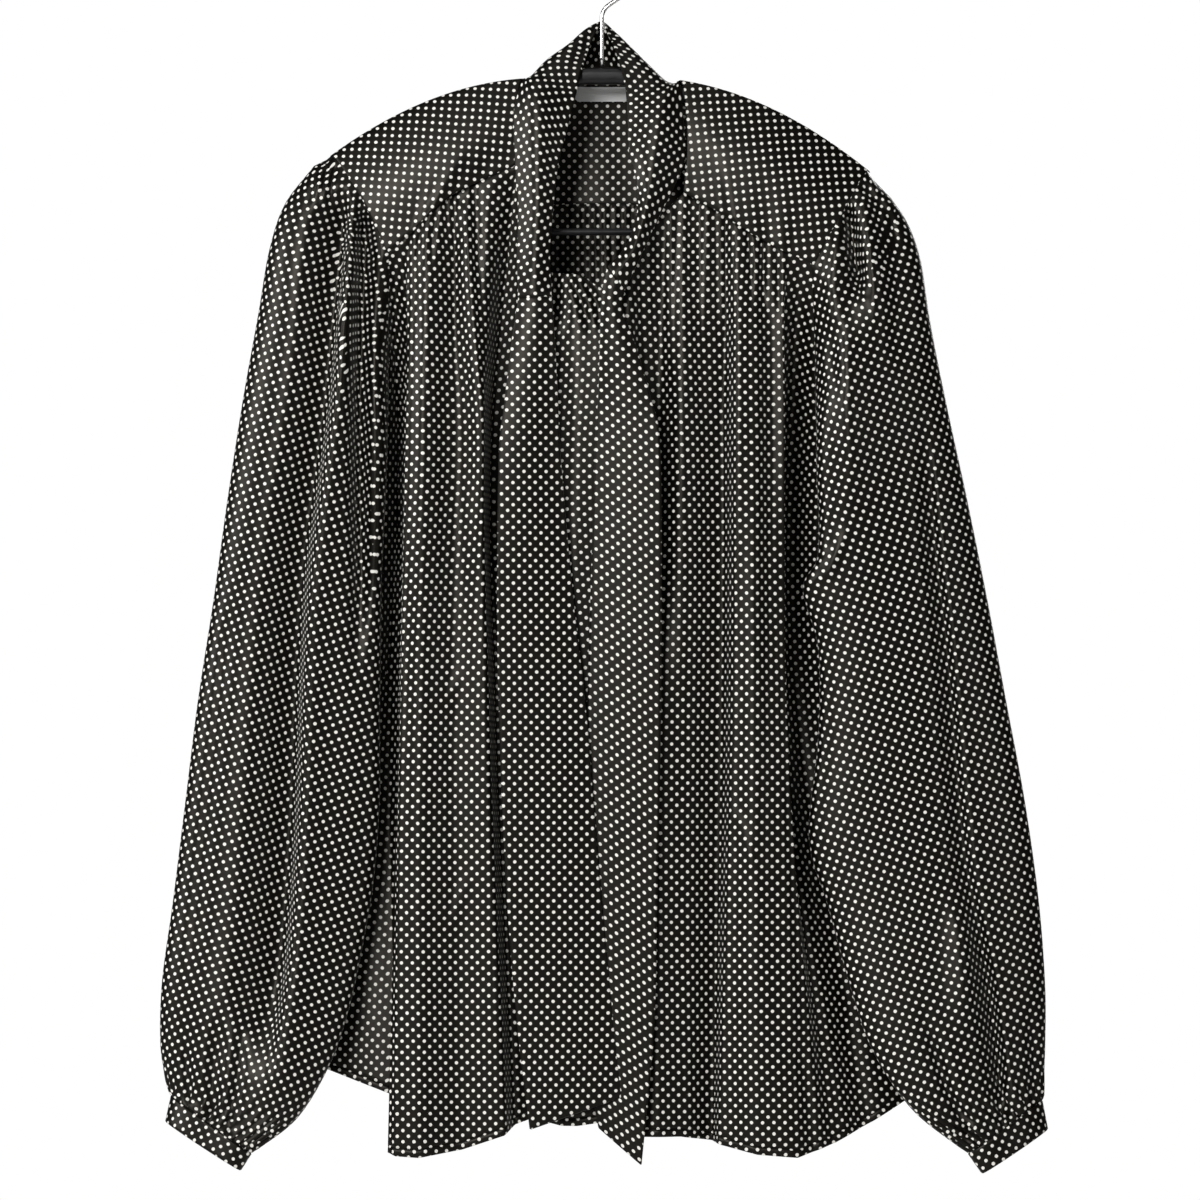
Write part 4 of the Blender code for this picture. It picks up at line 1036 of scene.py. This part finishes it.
arms = armPath(8)
shareOut = np.abs(np.linspace(-1, 1, len(arms)))[:, None]
armScales = np.concatenate([1 + (hanger["tipHalfHeight"] / hanger["halfHeight"] - 1) * shareOut, np.ones_like(shareOut)], 1)
armSection = ovalSection(hanger["halfHeight"], hanger["halfDepth"], 32, hanger["squareness"])
makeRod("hanger_arms_rod", arms, armSection, plastic, armScales)
bar = np.stack([np.linspace(*hanger["barEnds"], 30), np.full(30, -hanger["barDown"])], 1)
makeRod("hanger_bar_rod", bar, ovalSection(hanger["barRadius"], hanger["barRadius"], 24, 1), plastic)
makeRod("hanger_hook_wire", hookPath(), ovalSection(hanger["wireRadius"], hanger["wireRadius"], 20, 1), chrome)

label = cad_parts["label"].data
label.materials.clear()
label.materials.append(tape)


# Studio.

studio = {"cameraAt": (-1.3, -5000.0, -430.9), "viewWidth": 780.0, "floorDown": 1150.0, "floorRings": (0.5, 1.5, 3.0)}


lights = {
    # place, aim, size in metres and power in watts
    "key": ((-1.05, -3.1, 0.75), (0, 0, -0.4), 1.1, 76),
    "side": ((-3.0, -0.9, 0.5), (0, 0, -0.4), 1.0, 40),
    "fill": ((2.4, -2.2, 0.0), (0, 0, -0.4), 1.2, 6),
    "behind": ((0.9, 3.0, 0.5), (0, 0, -0.4), 1.6, 40),
    "top": ((0.0, -0.9, 1.9), (0, 0, -0.3), 1.2, 6),
}
for name, (at, aim, size, power) in lights.items():
    light = bpy.data.lights.new(name, "AREA")
    light.shape, light.size, light.energy = "SQUARE", size, power
    lamp = bpy.data.objects.new(name, light)
    bpy.context.collection.objects.link(lamp)
    lamp.location = at
    way = np.array(aim, float) - np.array(at, float)
    lamp.rotation_euler = (np.arctan2(np.hypot(way[0], way[1]), -way[2]), 0, np.arctan2(-way[0], way[1]))

camera = bpy.data.cameras.new("camera")
camera.sensor_width = 36
camera.lens = 36 * -studio["cameraAt"][1] / studio["viewWidth"]
camera.clip_end = 50
shot = bpy.data.objects.new("camera", camera)
bpy.context.collection.objects.link(shot)
shot.location = np.array(studio["cameraAt"]) * mm
shot.rotation_euler = (np.pi / 2, 0, 0)
bpy.context.scene.camera = shot

floorMesh = bpy.data.meshes.new("floor")
angles = np.linspace(0, 2 * np.pi, 97)[:-1]
circle = np.stack([np.cos(angles), np.sin(angles)], 1)
rings = [np.insert(r * circle, 2, -studio["floorDown"] * mm, 1) for r in studio["floorRings"]]
floorQuads, _ = gridFaces(len(rings), len(circle), True)
floorMesh.from_pydata(np.concatenate(rings), [], [*floorQuads[:, ::-1].tolist(), list(range(len(circle)))])
floor = bpy.data.objects.new("floor", floorMesh)
bpy.context.collection.objects.link(floor)
paper, paperTree, paperShader = newMaterial("palePaper")
feed(paperTree, paperShader, {"Base Color": (0.86, 0.86, 0.85, 1), "Roughness": 0.9})
floorMesh.materials.append(paper)

world = bpy.data.worlds.new("studio")
bpy.context.scene.world = world
world.use_nodes = True
sky = world.node_tree
seen = addNode(sky, "LightPath").outputs["Is Camera Ray"]
amount = addNode(sky, "Mix", {"Factor": seen, "A": 0.06, "B": 1.0}, data_type="FLOAT")
feed(sky, sky.nodes["Background"], {"Color": (1, 1, 1, 1), "Strength": amount.outputs["Result"]})
bpy.context.scene.view_settings.view_transform = "Standard"
print("studio made")
